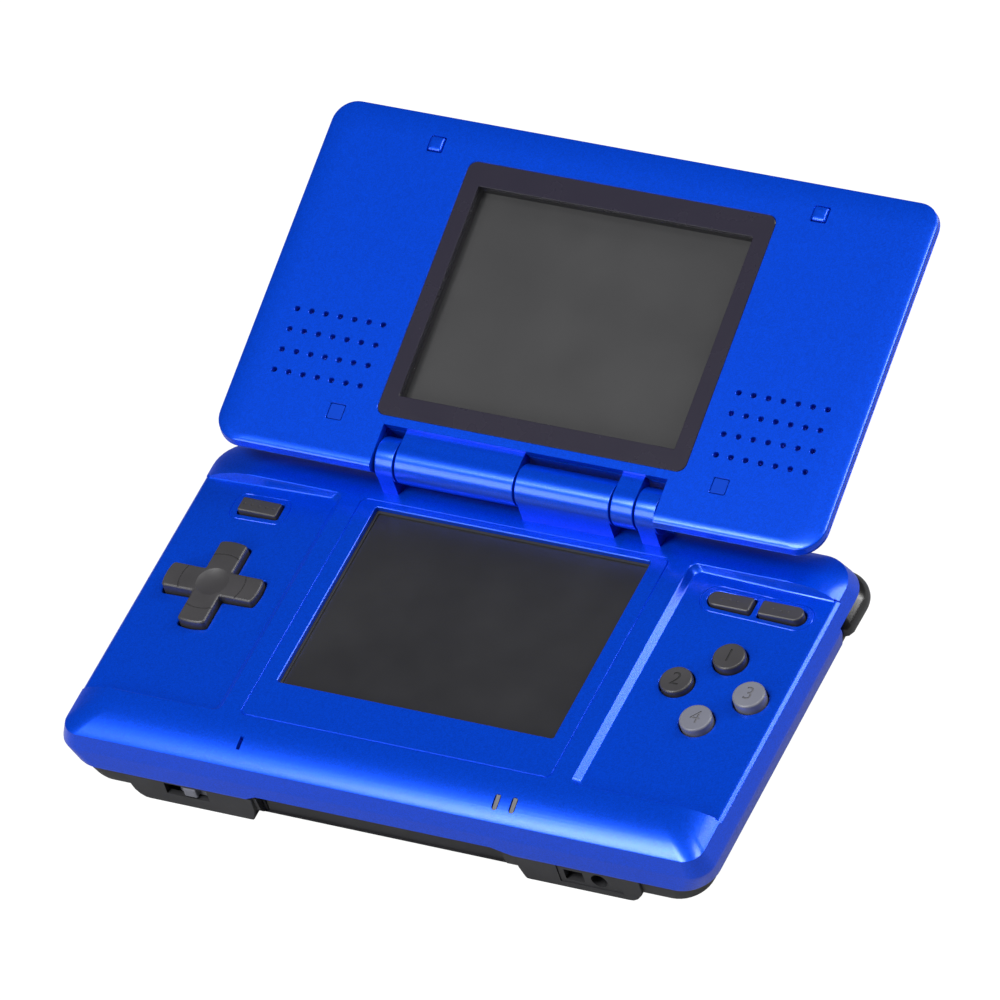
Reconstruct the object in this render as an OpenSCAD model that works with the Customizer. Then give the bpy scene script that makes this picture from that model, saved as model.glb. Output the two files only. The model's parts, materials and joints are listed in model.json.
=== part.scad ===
// Clamshell handheld game console with two equal screens, drawn with its lid open.
// Units are mm. X runs to the user's right, Y away from the user, Z up, and the feet rest on Z = 0.
// The origin is under the middle of the open object.
// The lid is drawn closed in its own frame and then turned.

/* [Base body] */
// Half width of the base at the sharp crease of its top shell
crease_half_x = 72.1; // [71.6:0.1:72.6]
// Front end of that crease
crease_front_y = -41.3; // [-41.8:0.1:-40.9]
// Rear end of that crease
crease_rear_y = 38.3; // [38:0.1:38.8]
// Height of the flat top round the lower screen
top_z = 18; // [17.9:0.1:18.3]
// How far the soft roll drops from the flat top to the crease
roll_drop = 2.65; // [2.4:0.05:2.8]
// How far in from the crease the soft roll starts
roll_run = 9.5; // [9:0.1:10]
// Plan radius of the base's corners at its foot
corner_r = 7; // [6.6:0.1:7.4]
// Wall of the moulded shells
wall = 1.5; // [1.4:0.05:1.6]

/* [Screens] */
// Width of the lower screen's opening
touch_w = 62.6; // [62.2:0.1:63]
// Depth of the lower screen's opening
touch_d = 47; // [46.7:0.1:47.3]
// Width of one screen's active picture
picture_w = 61.44; // [61.4:0.02:61.5]
// Height of one screen's active picture
picture_d = 46.08; // [46:0.02:46.1]
// Width of the upper screen's dark lens
lens_w = 70.2; // [69.8:0.1:70.6]
// Height of the upper screen's dark lens
lens_d = 57.6; // [57.2:0.1:58]

/* [Controls] */
// Distance of each face button from the middle of the four
cluster_r = 8.1; // [8:0.05:8.2]
// Face button diameter
face_d = 6.76; // [6.6:0.02:6.9]
// Length of one arm of the cross pad from its middle
pad_arm = 10.8; // [10.6:0.1:10.9]
// Width of the cross pad's arms
pad_w = 6.2; // [6:0.1:6.3]
// Clearance of a key in its well
key_gap = 0.4; // [0.38:0.01:0.45]
// Travel of the face buttons
face_travel = 0.6; // [0.5:0.05:0.65]

/* [Lid and hinge] */
// How far the lid is turned back from closed
open_angle = 163.9; // [160:0.1:163.9]
// How far the lid's sides stand in from the crease of the base
lid_inset = 3; // [2.8:0.1:3.3]
// Reach of the lid from the hinge axis
lid_reach = 73.7; // [73.4:0.1:74]
// Thickness of the lid
lid_t = 10.45; // [10.2:0.05:10.6]
// Hinge barrel radius
barrel_r = 4.5; // [4.4:0.02:4.56]
// Hinge pin radius
pin_r = 1.5; // [1.45:0.01:1.55]
// Radial clearance of the pins in the barrels
pin_gap = 0.05; // [0.03:0.01:0.08]

/* [Sockets] */
// Bore of the headphone socket
jack_bore_d = 3.6; // [3.55:0.01:3.7]
// Width of the game card slot
card_w = 33.6; // [33.4:0.1:33.8]
// Height of the game card slot
card_h = 4.4; // [4.2:0.1:4.6]
// Stylus diameter
stylus_d = 4.4; // [4.2:0.05:4.5]

/* [Hidden] */
$fn = 32;
fine_fn = 64;
hole_facets = 8;
roll_steps = 4;
// Overlap of joined solids, thickness of the slices that hulls run over, and reach of cuts past a face
e = 0.01;
skin = 0.02;
past = 1;
far = 8;

// Base shells
crease_z = top_z - roll_drop;
roll_r = (roll_run * roll_run + roll_drop * roll_drop) / (2 * roll_drop);
roll_a = asin(roll_run / roll_r);
crease_corner_r = 4;
rear_corner_r = 7.5;
foot_lean_x = 0.5;
foot_lean_y = 1;
// The wall between foot and crease swells outwards
bulge_x = 1.6;
bulge_front = 1.2;
bulge_r = 4.8;
bulge_z = 11.3;
seam_z = 6.7;
seam_arch_z = 8.1;
belly_z = 0.8;
belly_wall = 2.3;
belly_side_wall = 4.2;
belly_round = 0.6;
// How far the bottom shell tucks in at its sides and at its ends, from the seam down
belly_levels = [[0.7, 0.7, seam_z - skin], [2.3, 0.9, 3.2], [3.4, 1.6, 1.7], [4.6, 2.8, 1], [6, 4.5, belly_z]];
floor_z = belly_z + wall;
ceiling_z = top_z - wall;
foot_half_x = crease_half_x + foot_lean_x;
rear_wall_y = crease_rear_y + foot_lean_y;
front_wall_y = crease_front_y - foot_lean_y;
front_end_y = crease_front_y - bulge_front;

// Sunk panels and the outline round the screen field
panel_in_x = 39.6;
panel_wall_run = 1.15;
panel_drop = 1.2;
panel_front_in = 11.1;
panel_front_y = crease_front_y + panel_front_in;
panel_rear_in = 10.1;
panel_rear_y = crease_rear_y - panel_rear_in;
panel_out = 4;
panel_slope = (roll_drop - panel_drop) / (crease_half_x - panel_in_x - panel_wall_run);
panel_skin = 1.5;
groove_r = 1.5;
groove_half_x = 35.2;
groove_front_in = 11.15;
groove_front_y = crease_front_y + groove_front_in;
groove_rear_in = 10.15;
groove_rear_y = crease_rear_y - groove_rear_in;
groove_w = 0.3;
groove_d = 0.2;

// Lower screen
touch_y = 3.05;
touch_recess = 1.5;
touch_surface_z = top_z - touch_recess;
touch_t = 1.4;
lcd_t = 3;
gasket_t = 0.3;
gasket_top_z = touch_surface_z + gasket_t;
pocket_margin = 2.7;
touch_pocket_x = touch_w / 2 + pocket_margin;
touch_pocket_y = touch_d / 2 + pocket_margin;
gasket_gap = 0.6;
touch_gap = 0.4;
lcd_gap = 0.3;
picture_sink = 0.2;

// Keys
cluster_in = 14.9;
cluster_x = crease_half_x - cluster_in;
cluster_y = -0.15;
pad_in = 15.6;
pad_x = pad_in - crease_half_x;
pad_y = 0.45;
small_in = 16.7;
small_y = crease_rear_y - small_in;
select_in = 21;
select_x = crease_half_x - select_in;
start_in = 9.5;
start_x = crease_half_x - start_in;
small_l = 9.6;
small_w = 3.6;
power_in = 15.9;
power_x = power_in - crease_half_x;
power_l = 9;
power_w = 3.5;
face_low = 0.45;
face_top_z = top_z - face_low;
pad_low = 0.1;
pad_top_z = top_z - pad_low;
small_low = 0.9;
small_top_z = top_z - small_low;
dimple_r = 9;
dimple_d = 0.9;
rim = 0.35;
face_top_r = face_d / 2;
flange = 0.9;
flange_low = 5;
flange_z = top_z - flange_low;
flange_t = 0.7;
small_flange_x = 0.6;
small_flange_y = 0.8;
pad_flange_r = 8;
pivot_r = 1;
pivot_hole_r = 1.9;
pivot_foot = 0.12;
pivot_head = 0.05;
dome_slack = 0.1;
dome_z = flange_z - face_travel - dome_slack;
dome_r = 2.2;
pad_dome_x = 6.5;
small_dome_r = 1.6;
sheet_t = 1;
pad_sheet = 10;
cluster_sheet = 3.4;
small_sheet_x = 4;
small_sheet_front = 2.2;
small_sheet_rear = 2;
power_body = 3;
power_body_h = 1.4;

// Circuit board and what stands on it
board_z = 9.2;
board_t = 1;
board_top_z = board_z + board_t;
board_side_in = 2.6;
board_half_x = crease_half_x - board_side_in;
board_front_in = 2.8;
board_front_y = crease_front_y + board_front_in;
board_rear_in = 8.3;
board_rear_y = crease_rear_y - board_rear_in;
board_corner_r = 5;
board_clear = 0.3;
shield_x = 20;
shield_y = 18;
shield_wall = 0.3;
shield_top_z = touch_surface_z - touch_t - lcd_t;
wireless_in = 9.1;
wireless_x = wireless_in - crease_half_x;
wireless_w = 18;
wireless_y = -28;
wireless_d = 14;
wireless_t = 0.8;
can_edge = 2;
can_w = 11;
can_d = 10;
can_h = 1.2;

// Light pipes and microphone
led_x = [26.4, 30.2];
led_in = 3.8;
led_y = crease_front_y + led_in;
led_l = 3.1;
led_w = 0.9;
led_gap = 0.02;
led_sink_front = 0.15;
led_sink_rear = 0.1;
mic_x = -32;
mic_in = 4.8;
mic_y = crease_front_y + mic_in;
mic_l = 2.8;
mic_w = 0.8;
mic_r = 2.2;
mic_low = 3.6;
mic_top_z = top_z - mic_low;

// Stylus and power inlet
mouth_in = 0.9;
stylus_x = -34.5;
stylus_z = 5.6;
stylus_l = 74;
stylus_gap = 0.15;
stylus_in = 0.3;
stylus_cone = 5;
stylus_tip = 1.2;
stylus_room = 6;
silo_skin = 0.5;
silo_r = stylus_d / 2 + stylus_gap + silo_skin;
silo_ribs = [-20, 15];
silo_rib_w = 3;
inlet_z = 5.9;
inlet_w = 5.6;
inlet_h = 2.4;
inlet_wall = 1;
inlet_l = 11;

// Front pods with the volume slider and the audio sockets
pod_left_in = 13.5;
pod_left = [pod_left_in - crease_half_x, -29.9];
pod_right_in = 14.6;
pod_right = [29.7, crease_half_x - pod_right_in];
pod_out_in = 3.6;
pod_back = 0.2;
pod_front_y = front_wall_y + pod_back;
pod_l = 14.6;
pod_rear_y = pod_front_y + pod_l;
pod_wall = 1.2;
pod_toe = 1.5;
pod_toe_z = 0.9;
pod_sole = 3.5;
pod_heel = 0.9;
pod_heel_z = 0.8;
pod_heel_sole = 1.6;
slider_from_stylus = 10.7;
slider_x = stylus_x - slider_from_stylus;
slider_rest = 0.8;
slider_rest_x = slider_x + slider_rest;
slider_z = 4.7;
slider_window_w = 9.8;
slider_window_h = 3.2;
slider_window_d = 2;
slider_body_y = pod_front_y + 3.2;
slider_body_w = 8;
slider_body_d = 5;
slider_body_z = 2.8;
knob_w = 3;
knob_h = 2.5;
knob_out = 0.2;
guide_gap = 0.15;
body_gap = 0.05;
port_near = 18.6;
port_far = 4.5;
port_block = [pod_right[1] - port_near, pod_right[1] - port_far];
port_z = 1.6;
port_d = 3;
port_gap = 0.1;
port_in = 0.2;
port_foot_gap = 0.05;
port_wall = 1.2;
jack_in = 5;
jack_x = port_block[1] - jack_in;
jack_z = 4;
jack_l = 11;
port_hole_in = 3.5;
port_x = port_block[0] + port_hole_in;
port_w = 4.2;
port_h = 3;
port_hole_l = 4;
stand_in = 2;
stand_y = 7;

// Cartridge slot and its cover
slot_x = -1.2;
slot_half_x = 27.2;
arch_left = [-31.3, -28.5];
arch_right = [30, 24.9];
arch_d = 0.5;
slot_front_in = 2.4;
slot_front_y = front_wall_y + slot_front_in;
slot_l = 33.9;
slot_rear_y = slot_front_y + slot_l;
slot_floor_z = 1.5;
slot_top_z = seam_arch_z;
slot_skin = 0.6;
cover_gap = 0.35;
cover_lift = 0.1;
cover_l = 24;
cover_wall = 1.2;

// Card slot
card_depth = 24;
card_z = 4.2;
card_skin = 0.6;
card_front_y = rear_wall_y - card_depth;

// Screws and feet
screw_r = 0.9;
screw_fit = 0.1;
thread_gap = 0.03;
screw_head_r = 1.7;
screw_head_gap = 0.2;
screw_seat_z = 2;
screw_slot_w = 0.4;
screw_slot_d = 0.4;
head_t = 1;
boss_r = 2.4;
screw_in = 5.6;
screw_x = crease_half_x - screw_in;
screw_front_in = 8.3;
screw_y_front = crease_front_y + screw_front_in;
screw_rear_in = 22.3;
screw_y_rear = crease_rear_y - screw_rear_in;
boss_low_front = 2.4;
boss_low_rear = 3.4;
screw_spots = [[screw_x, screw_y_front, top_z - boss_low_front], [screw_x, screw_y_rear, top_z - boss_low_rear]];
case_screw_l = 10.4;
case_thread = 3;
foot_side_in = 14.1;
foot_x = crease_half_x - foot_side_in;
foot_rear_in = 8.1;
foot_y = rear_wall_y - foot_rear_in;
foot_r = 3.2;
foot_ring = 1.2;
foot_ring_z = 2.9;
foot_seat_z = 1.3;
foot_gap = 0.05;
ring_root = 0.2;

// Battery and its cover
cover_margin = 1.6;
slot_clear = 0.4;
battery_in_x = slot_x + slot_half_x + slot_skin + cover_margin + slot_clear;
boss_clear = 2.1;
battery_out_x = screw_x - boss_r - boss_clear;
battery_x = (battery_in_x + battery_out_x) / 2;
battery_w = battery_out_x - battery_in_x;
battery_y = 9;
battery_d = 31;
battery_lift = 0.2;
battery_z = floor_z + battery_lift;
battery_h = 5.8;
contact_w = 2;
contact_pitch = 4;
contact_d = 0.4;
contact_z = 1.5;
contact_h = 3;
cover_fit = 0.15;
cover_tab = 4;
cover_screw_y = battery_y - battery_d / 2 - cover_tab / 2;
cover_front_y = battery_y - battery_d / 2 - cover_tab;
cover_screw_l = 3.2;
bracket_half_w = 2.2;
bracket_front = 3;
bracket_lap = 1;
bracket_rear = 1.8;
bracket_root = 0.5;
bracket_h = 3;
rib_half_w = 6;
rib_y = 6;
rib_pitch = 1.6;
rib_w = 0.8;
rib_d = 0.4;

// Lid
lid_half_x = crease_half_x - lid_inset;
lid_gap = 0.45;
hinge_in = 3.3;
hinge_y = crease_rear_y - hinge_in;
hinge_up = 5.25;
hinge_z = top_z + hinge_up;
lid_in_z = top_z + lid_gap - hinge_z;
lid_out_z = lid_in_z + lid_t;
lid_rim_drop = 1.9;
lid_seam_z = lid_in_z + lid_rim_drop;
lid_rim_wall = 1.2;
lid_roll = 6;
lid_front_rear_run = 2;
lid_front_corner = 2;
lid_back_run = 13;
lid_back_rear_run = 8;
lid_back_corner = 2;
lid_back_start = 26;
lid_back_angles = [lid_back_start, 38, 50, 62, 76, 90];
lid_far_r = 5.2;
lid_near_r = 6;
lid_rear_y = 4.5;
lid_rear_lean = 0.4;
lid_rear_r = 4.65;
lid_rear_in = 1;
lid_wall = 1.4;
notch_x = 32.3;
notch_y = -5.4;
notch_wall_in = 0.5;
cheek_front = 1;
cheek_rear_y = 2.6;
cheek_top_z = 3.6;
lens_y = -36.2;
lens_gap = 0.05;
lens_lift = 0.02;
lens_t = 1.2;
window_w = 62.74;
window_d = 47.8;
window_y = -35.85;
window_margin = 1;
lcd_depth = 3.2;
lcd_rim = 2.5;
speaker_shift = 1;
speaker_x = (window_w / 2 + lcd_rim + lid_half_x) / 2 - speaker_shift;
speaker_y = -19.4;
speaker_pitch_x = 3.32;
speaker_pitch_y = 4.62;
speaker_hole_r = 0.6;
speaker_columns = 3;
speaker_rows = 1.5;
speaker_r = 12;
speaker_t = 2.4;
speaker_wall = 0.6;
speaker_hollow = 0.4;
magnet_r = 5;
magnet_t = 1.6;
bumper_x = 43.85;
bumper_y = -67.1;
bumper_w = 3.2;
bumper_out = 0.4;
cap_x = 43.65;
cap_y = -6.05;
cap_seat = 1.3;
cap_low = 0.75;
cap_room = 0.15;
cap_in = 0.05;
lid_head_r = 1.5;
lid_screw_l = 5.4;
lid_thread = 6;
lid_boss_h = 7.6;
lid_screw_spots = [[-bumper_x, bumper_y], [bumper_x, bumper_y], [-cap_x, cap_y], [cap_x, cap_y]];

// Hinge
base_knuckles = [[-32, -27.75], [0, 21.5], [27.2, 31.9]];
lid_knuckles = [[-27.45, -0.3], [21.8, 26.9]];
knuckle_plate = 1.2;
web_front = 3;
web_low = 1.1;
web_back_low = 1.3;
web_angle = 50;
web_h = 3.6;
lid_web_z = lid_in_z + web_h;
web_side_gap = 0.1;
web_top_gap = 0.05;
cam_r = 3;
cam_gap = 0.02;
cam_x0 = -27.2;
cam_x1 = -12;
cam_bore_l = 8;
pin_left_x = -31;
pin_left_l = 10.8;
pin_left_room = 11;
pin_right_x0 = 15;
pin_right_x1 = 31;
ribbon_x = 7.5;
ribbon_w = 6;
ribbon_r = 2.3;
ribbon_t = 0.4;
coil_t = 0.6;
coil_gap = 0.3;
coil_side_gap = 1;
channel_side_gap = 0.5;
channel_half_d = 0.6;
ribbon_lap = 2;
ribbon_foot_t = 0.3;

// Shoulder buttons
shoulder_out = 2.25;
shoulder_x = crease_half_x + shoulder_out;
shoulder_back = 0.7;
shoulder_rear_y = rear_wall_y + shoulder_back;
shoulder_leg_l = 15;
shoulder_front_y = shoulder_rear_y - shoulder_leg_l;
shoulder_l = 16.35;
shoulder_in_x = shoulder_x - shoulder_l;
shoulder_r = 7;
shoulder_lift = 0.7;
shoulder_z0 = seam_z + shoulder_lift;
shoulder_z1 = 11.6;
shoulder_t = 5.2;
shoulder_chamfer = 2;
shoulder_lean = 0.8;
shoulder_end_r = 1;
shoulder_nose_r = 1.5;
shoulder_gap = 0.35;
shoulder_swing = 1.2;
shoulder_leg_w = 4.75;
shoulder_leg_x = shoulder_x - shoulder_leg_w;
shoulder_leg_y = shoulder_rear_y - shoulder_t;
shoulder_pin_in = 2.2;
shoulder_pin_x = shoulder_in_x + shoulder_pin_in;
shoulder_pin_y = shoulder_rear_y - shoulder_t / 2;
shoulder_pin_r = 0.9;
pin_top = 0.8;
pin_top_room = 0.85;
room_out = 2;
room_rear = 3;
corner_in = 2;
corner_l = 6;
corner_under = 0.1;
post_in = 1;
post_l = 5;
post_z = 2;
spring_r = 1.9;
spring_bore_r = 1.2;
spring_gap = 0.1;
switch_in = 6.75;
switch_x = shoulder_in_x + switch_in;
switch_half_w = 2.25;
switch_d = 4;
switch_h = 1.6;
plunger_r = 0.5;
plunger_gap = 0.45;
inlet_in = 6;
inlet_x = inlet_in - shoulder_in_x;

origin_y = (front_end_y + hinge_y + lid_reach * cos(180 - open_angle) + lid_seam_z * sin(open_angle)) / 2;

shell_blue = [0.02, 0.2, 0.75];
dark_plastic = [0.22, 0.21, 0.22];
mid_grey = [0.5, 0.5, 0.56];
rubber = [0.16, 0.16, 0.17];
board_green = [0.08, 0.34, 0.2];
steel = [0.74, 0.75, 0.78];
glass_dark = [0.17, 0.17, 0.19];
ribbon_amber = [0.8, 0.5, 0.2];

// Helpers shared by several sub-parts

// Four thin corner posts of a rounded plate, for hull; the two at its rear can have their own radius
module posts(half_x, y0, y1, r, z, rear_r = 0) {
  for (sx = [-1, 1])
    for (end = [[y0 + r, r], rear_r > 0 ? [y1 - rear_r, rear_r] : [y1 - r, r]])
      translate([sx * (half_x - end[1]), end[0], z])
        cylinder(r = end[1], h = skin);
}

// Rounded plate with exact arcs, from z0 to z1
module rounded_plate(half_x, y0, y1, r, z0, z1) {
  translate([0, 0, z0])
    linear_extrude(z1 - z0)
      rounded_outline(half_x, y0, y1, r);
}

module rounded_outline(half_x, y0, y1, r) {
  translate([-half_x + r, y0])
    square([2 * (half_x - r), y1 - y0]);
  translate([-half_x, y0 + r])
    square([2 * half_x, y1 - y0 - 2 * r]);
  for (sx = [-1, 1])
    for (y = [y0 + r, y1 - r])
      translate([sx * (half_x - r), y])
        circle(r);
}

module block(x0, x1, y0, y1, z0, z1) {
  translate([x0, y0, z0])
    cube([x1 - x0, y1 - y0, z1 - z0]);
}

// A profile given as points of Y and Z, drawn along X
module along_x(x0, x1) {
  translate([x0, 0, 0])
    rotate([90, 0, 90])
      linear_extrude(x1 - x0)
        children();
}

// A profile given as points of X and Z, drawn along Y
module along_y(y0, y1) {
  translate([0, y1, 0])
    rotate([90, 0, 0])
      linear_extrude(y1 - y0)
        children();
}

// Upright round bar or bore at x, y between two heights
module post_at(x, y, r, z0, z1) {
  translate([x, y, z0])
    cylinder(r = r, h = z1 - z0);
}

// Bar or bore about the hinge axis between two X positions
module on_hinge(x0, x1, r) {
  along_x(x0, x1)
    translate([hinge_y, hinge_z])
      circle(r);
}

// The lid's own frame: hinge axis on X, the lid towards -Y, its outer face towards +Z
module in_lid() {
  translate([0, hinge_y, hinge_z])
    rotate([-open_angle, 0, 0])
      children();
}

module both_sides() {
  children();
  mirror([1, 0, 0])
    children();
}

// Everything is drawn about the middle of the base and then moved to the object's own origin
module placed() {
  translate([0, -origin_y, 0])
    children();
}

module at_case_screws() {
  both_sides()
    for (s = screw_spots)
      translate([s[0], s[1], 0])
        children();
}

// Forms of the base

// Solid form of the top shell, drawn in by the given amount
module top_form(inset, drop) {
  hull() {
    posts(foot_half_x - inset, front_wall_y + inset, rear_wall_y - inset, corner_r - inset, seam_z - drop * 2);
    posts(crease_half_x + bulge_x - inset, front_end_y + inset, rear_wall_y - inset, bulge_r - inset,
      bulge_z - drop / 2, rear_corner_r - inset);
    for (k = [0 : roll_steps])
      posts(crease_half_x - inset - roll_run + roll_r * sin(roll_a * (1 - k / roll_steps)),
        crease_front_y + inset + roll_run - roll_r * sin(roll_a * (1 - k / roll_steps)),
        crease_rear_y - inset - roll_run + roll_r * sin(roll_a * (1 - k / roll_steps)),
        crease_corner_r - inset,
        top_z - drop - roll_r * (1 - cos(roll_a * (1 - k / roll_steps))) - skin,
        rear_corner_r - inset);
  }
}

// Height of the front roll at a depth y
function roll_z(y) = top_z - roll_r + sqrt(roll_r * roll_r - pow(crease_front_y + roll_run - y, 2));

// Sunk side panel, one side; its floor slopes down to the crease
module panel_cut() {
  along_y(panel_front_y, panel_rear_y)
    polygon([
      [panel_in_x, top_z + past], [panel_in_x, top_z],
      [panel_in_x + panel_wall_run, top_z - panel_drop],
      [crease_half_x + panel_out, crease_z - panel_out * panel_slope],
      [crease_half_x + panel_out, top_z + past]]);
}

module panel_floor() {
  along_y(panel_front_y - wall, panel_rear_y + wall)
    polygon([
      [panel_in_x - wall, ceiling_z + e], [panel_in_x - wall, top_z - panel_drop - panel_skin],
      [crease_half_x - e, crease_z - panel_skin], [crease_half_x - e, crease_z],
      [panel_in_x + panel_wall_run, top_z - panel_drop], [panel_in_x, ceiling_z + e]]);
}

// Cross outline with arc ends
module cross_outline(arm, w) {
  intersection() {
    circle(arm, $fn = fine_fn);
    union() {
      square([2 * arm + past, w], center = true);
      square([w, 2 * arm + past], center = true);
    }
  }
}

// Bar with one round end: side -1 or 1
module bar_outline(l, w, side) {
  translate([-side * w / 4, 0])
    square([l - w / 2, w], center = true);
  translate([side * (l - w) / 2, 0])
    circle(w / 2);
}

module at_face_keys() {
  translate([cluster_x, cluster_y, 0])
    for (a = [0 : 90 : 270])
      rotate([0, 0, a])
        translate([cluster_r, 0, 0])
          children();
}

module base_knuckle(x0, x1) {
  on_hinge(x0, x1, barrel_r);
  block(x0, x1, hinge_y - barrel_r, hinge_y + knuckle_plate, crease_z, hinge_z);
}

// Space that a shoulder button swings in, right side
module shoulder_room(z0, z1) {
  block(shoulder_in_x - shoulder_gap, shoulder_x + room_out, shoulder_leg_y - 2 * shoulder_swing,
    shoulder_rear_y + room_rear, z0, z1);
  block(shoulder_leg_x - shoulder_swing, shoulder_x + room_out, shoulder_front_y - shoulder_swing,
    shoulder_rear_y + room_rear, z0, z1);
}

// Wells of the keys through the panels
module key_wells() {
  translate([0, 0, flange_z - past]) {
    translate([pad_x, pad_y, 0])
      linear_extrude(far)
        cross_outline(pad_arm + key_gap, pad_w + 2 * key_gap);
    at_face_keys()
      cylinder(r = face_top_r + key_gap, h = far);
    translate([select_x, small_y, 0])
      linear_extrude(far)
        bar_outline(small_l + 2 * key_gap, small_w + 2 * key_gap, -1);
    translate([start_x, small_y, 0])
      linear_extrude(far)
        bar_outline(small_l + 2 * key_gap, small_w + 2 * key_gap, 1);
    translate([power_x, small_y, 0])
      linear_extrude(far)
        square([power_l + 2 * key_gap, power_w + 2 * key_gap], center = true);
  }
}

module card_mouth() {
  block(-card_w / 2 - card_skin, card_w / 2 + card_skin, board_rear_y, rear_wall_y + past,
    card_z - card_skin, board_z);
}

module inlet_mouth() {
  block(inlet_x - inlet_w / 2 - inlet_wall, inlet_x + inlet_w / 2 + inlet_wall, board_rear_y,
    rear_wall_y + past, inlet_z - inlet_h / 2 - inlet_wall, board_z);
}

module stylus_mouth() {
  translate([stylus_x, rear_wall_y - stylus_room, stylus_z])
    rotate([-90, 0, 0])
      cylinder(r = silo_r + e, h = stylus_room + past);
}

module touch_opening(z0, z1) {
  block(-touch_w / 2, touch_w / 2, touch_y - touch_d / 2, touch_y + touch_d / 2, z0, z1);
}

// Plate in the pocket under the lower screen's opening, standing in from the pocket by a gap
module pocket_plate(gap, z0, z1) {
  block(-touch_pocket_x + gap, touch_pocket_x - gap, touch_y - touch_pocket_y + gap,
    touch_y + touch_pocket_y - gap, z0, z1);
}

module base_top_shell() {
  color(shell_blue) placed() difference() {
    union() {
      difference() {
        top_form(0, 0);
        top_form(wall, wall);
      }
      both_sides()
        panel_floor();
      // solid corner blocks that carry the shoulder pins
      both_sides()
        block(shoulder_in_x - corner_in, shoulder_in_x + corner_l, shoulder_leg_y, rear_wall_y - wall / 2,
          shoulder_z1 + shoulder_gap, crease_z - corner_under);
      for (k = base_knuckles)
        base_knuckle(k[0], k[1]);
      both_sides()
        for (s = screw_spots)
          post_at(s[0], s[1], boss_r, board_top_z, s[2]);
    }
    both_sides()
      panel_cut();
    // opening of the lower screen and the pocket under it
    touch_opening(seam_z, top_z + past);
    pocket_plate(0, seam_z, gasket_top_z);
    // outline groove round the screen field
    difference() {
      rounded_plate(groove_half_x, groove_front_y, groove_rear_y, groove_r, top_z - groove_d, top_z + past);
      rounded_plate(groove_half_x - groove_w, groove_front_y + groove_w, groove_rear_y - groove_w,
        groove_r - groove_w, top_z - past, top_z + 2 * past);
    }
    key_wells();
    // windows of the light pipes and the slot of the microphone
    for (x = led_x)
      block(x - led_w / 2, x + led_w / 2, led_y - led_l / 2, led_y + led_l / 2, flange_z, top_z + past);
    block(mic_x - mic_w / 2, mic_x + mic_w / 2, mic_y - mic_l / 2, mic_y + mic_l / 2, flange_z, top_z + past);
    // arch over the cartridge slot
    along_y(front_wall_y - past, slot_front_y + arch_d)
      polygon([
        [arch_left[0], seam_z - past], [arch_left[0], seam_z], [arch_left[1], seam_arch_z],
        [arch_right[1], seam_arch_z], [arch_right[0], seam_z], [arch_right[0], seam_z - past]]);
    card_mouth();
    inlet_mouth();
    stylus_mouth();
    both_sides()
      shoulder_room(seam_z - past, shoulder_z1 + shoulder_gap);
    // hinge bores
    on_hinge(pin_left_x, pin_left_x + pin_left_room, pin_r + pin_gap);
    on_hinge(pin_right_x0, pin_right_x1, pin_r + pin_gap);
    // channel of the display ribbon up into the wide knuckle
    on_hinge(ribbon_x - ribbon_w / 2 - coil_side_gap, ribbon_x + ribbon_w / 2 + coil_side_gap,
      ribbon_r + coil_gap);
    block(ribbon_x - ribbon_w / 2 - channel_side_gap, ribbon_x + ribbon_w / 2 + channel_side_gap,
      hinge_y - channel_half_d, hinge_y + channel_half_d, flange_z, hinge_z);
    at_case_screws()
      post_at(0, 0, screw_r, board_top_z - past, board_top_z + case_thread);
    both_sides()
      post_at(shoulder_pin_x, shoulder_pin_y, shoulder_pin_r, shoulder_z1, shoulder_z1 + pin_top_room);
  }
}

// Solid form of the bottom shell
module bottom_form() {
  hull()
    for (k = belly_levels)
      posts(foot_half_x - k[0], front_wall_y + k[1], rear_wall_y - k[1], corner_r - k[1] * belly_round, k[2]);
}

// Foot pod at a front corner: outer end sloped, inner end nearly square
module pod_profile(x_out, x_in, z0, shrink) {
  side = x_out < x_in ? 1 : -1;
  polygon([
    [x_out + side * shrink, seam_z], [x_out + side * shrink, pod_out_in],
    [x_out + side * (pod_toe + shrink), pod_toe_z + z0], [x_out + side * (pod_sole + shrink), z0],
    [x_in - side * (pod_heel_sole + shrink), z0], [x_in - side * (pod_heel + shrink), pod_heel_z + z0],
    [x_in - side * shrink, pod_out_in], [x_in - side * shrink, seam_z]]);
}

// Hollow of a foot pod, open to the inside of the base
module pod_hollow(x_out, x_in) {
  along_y(pod_front_y + pod_wall, pod_rear_y - pod_wall)
    pod_profile(x_out, x_in, pod_wall, pod_wall);
  along_y(pod_rear_y - pod_wall - e, pod_rear_y + past)
    pod_profile(x_out, x_in, floor_z, pod_wall);
}

module battery_cover_outline(inset, z0, z1) {
  block(battery_x - battery_w / 2 - cover_margin + inset, battery_x + battery_w / 2 + cover_margin - inset,
    cover_front_y + inset, battery_y + battery_d / 2 + cover_margin - inset, z0, z1);
}

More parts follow.
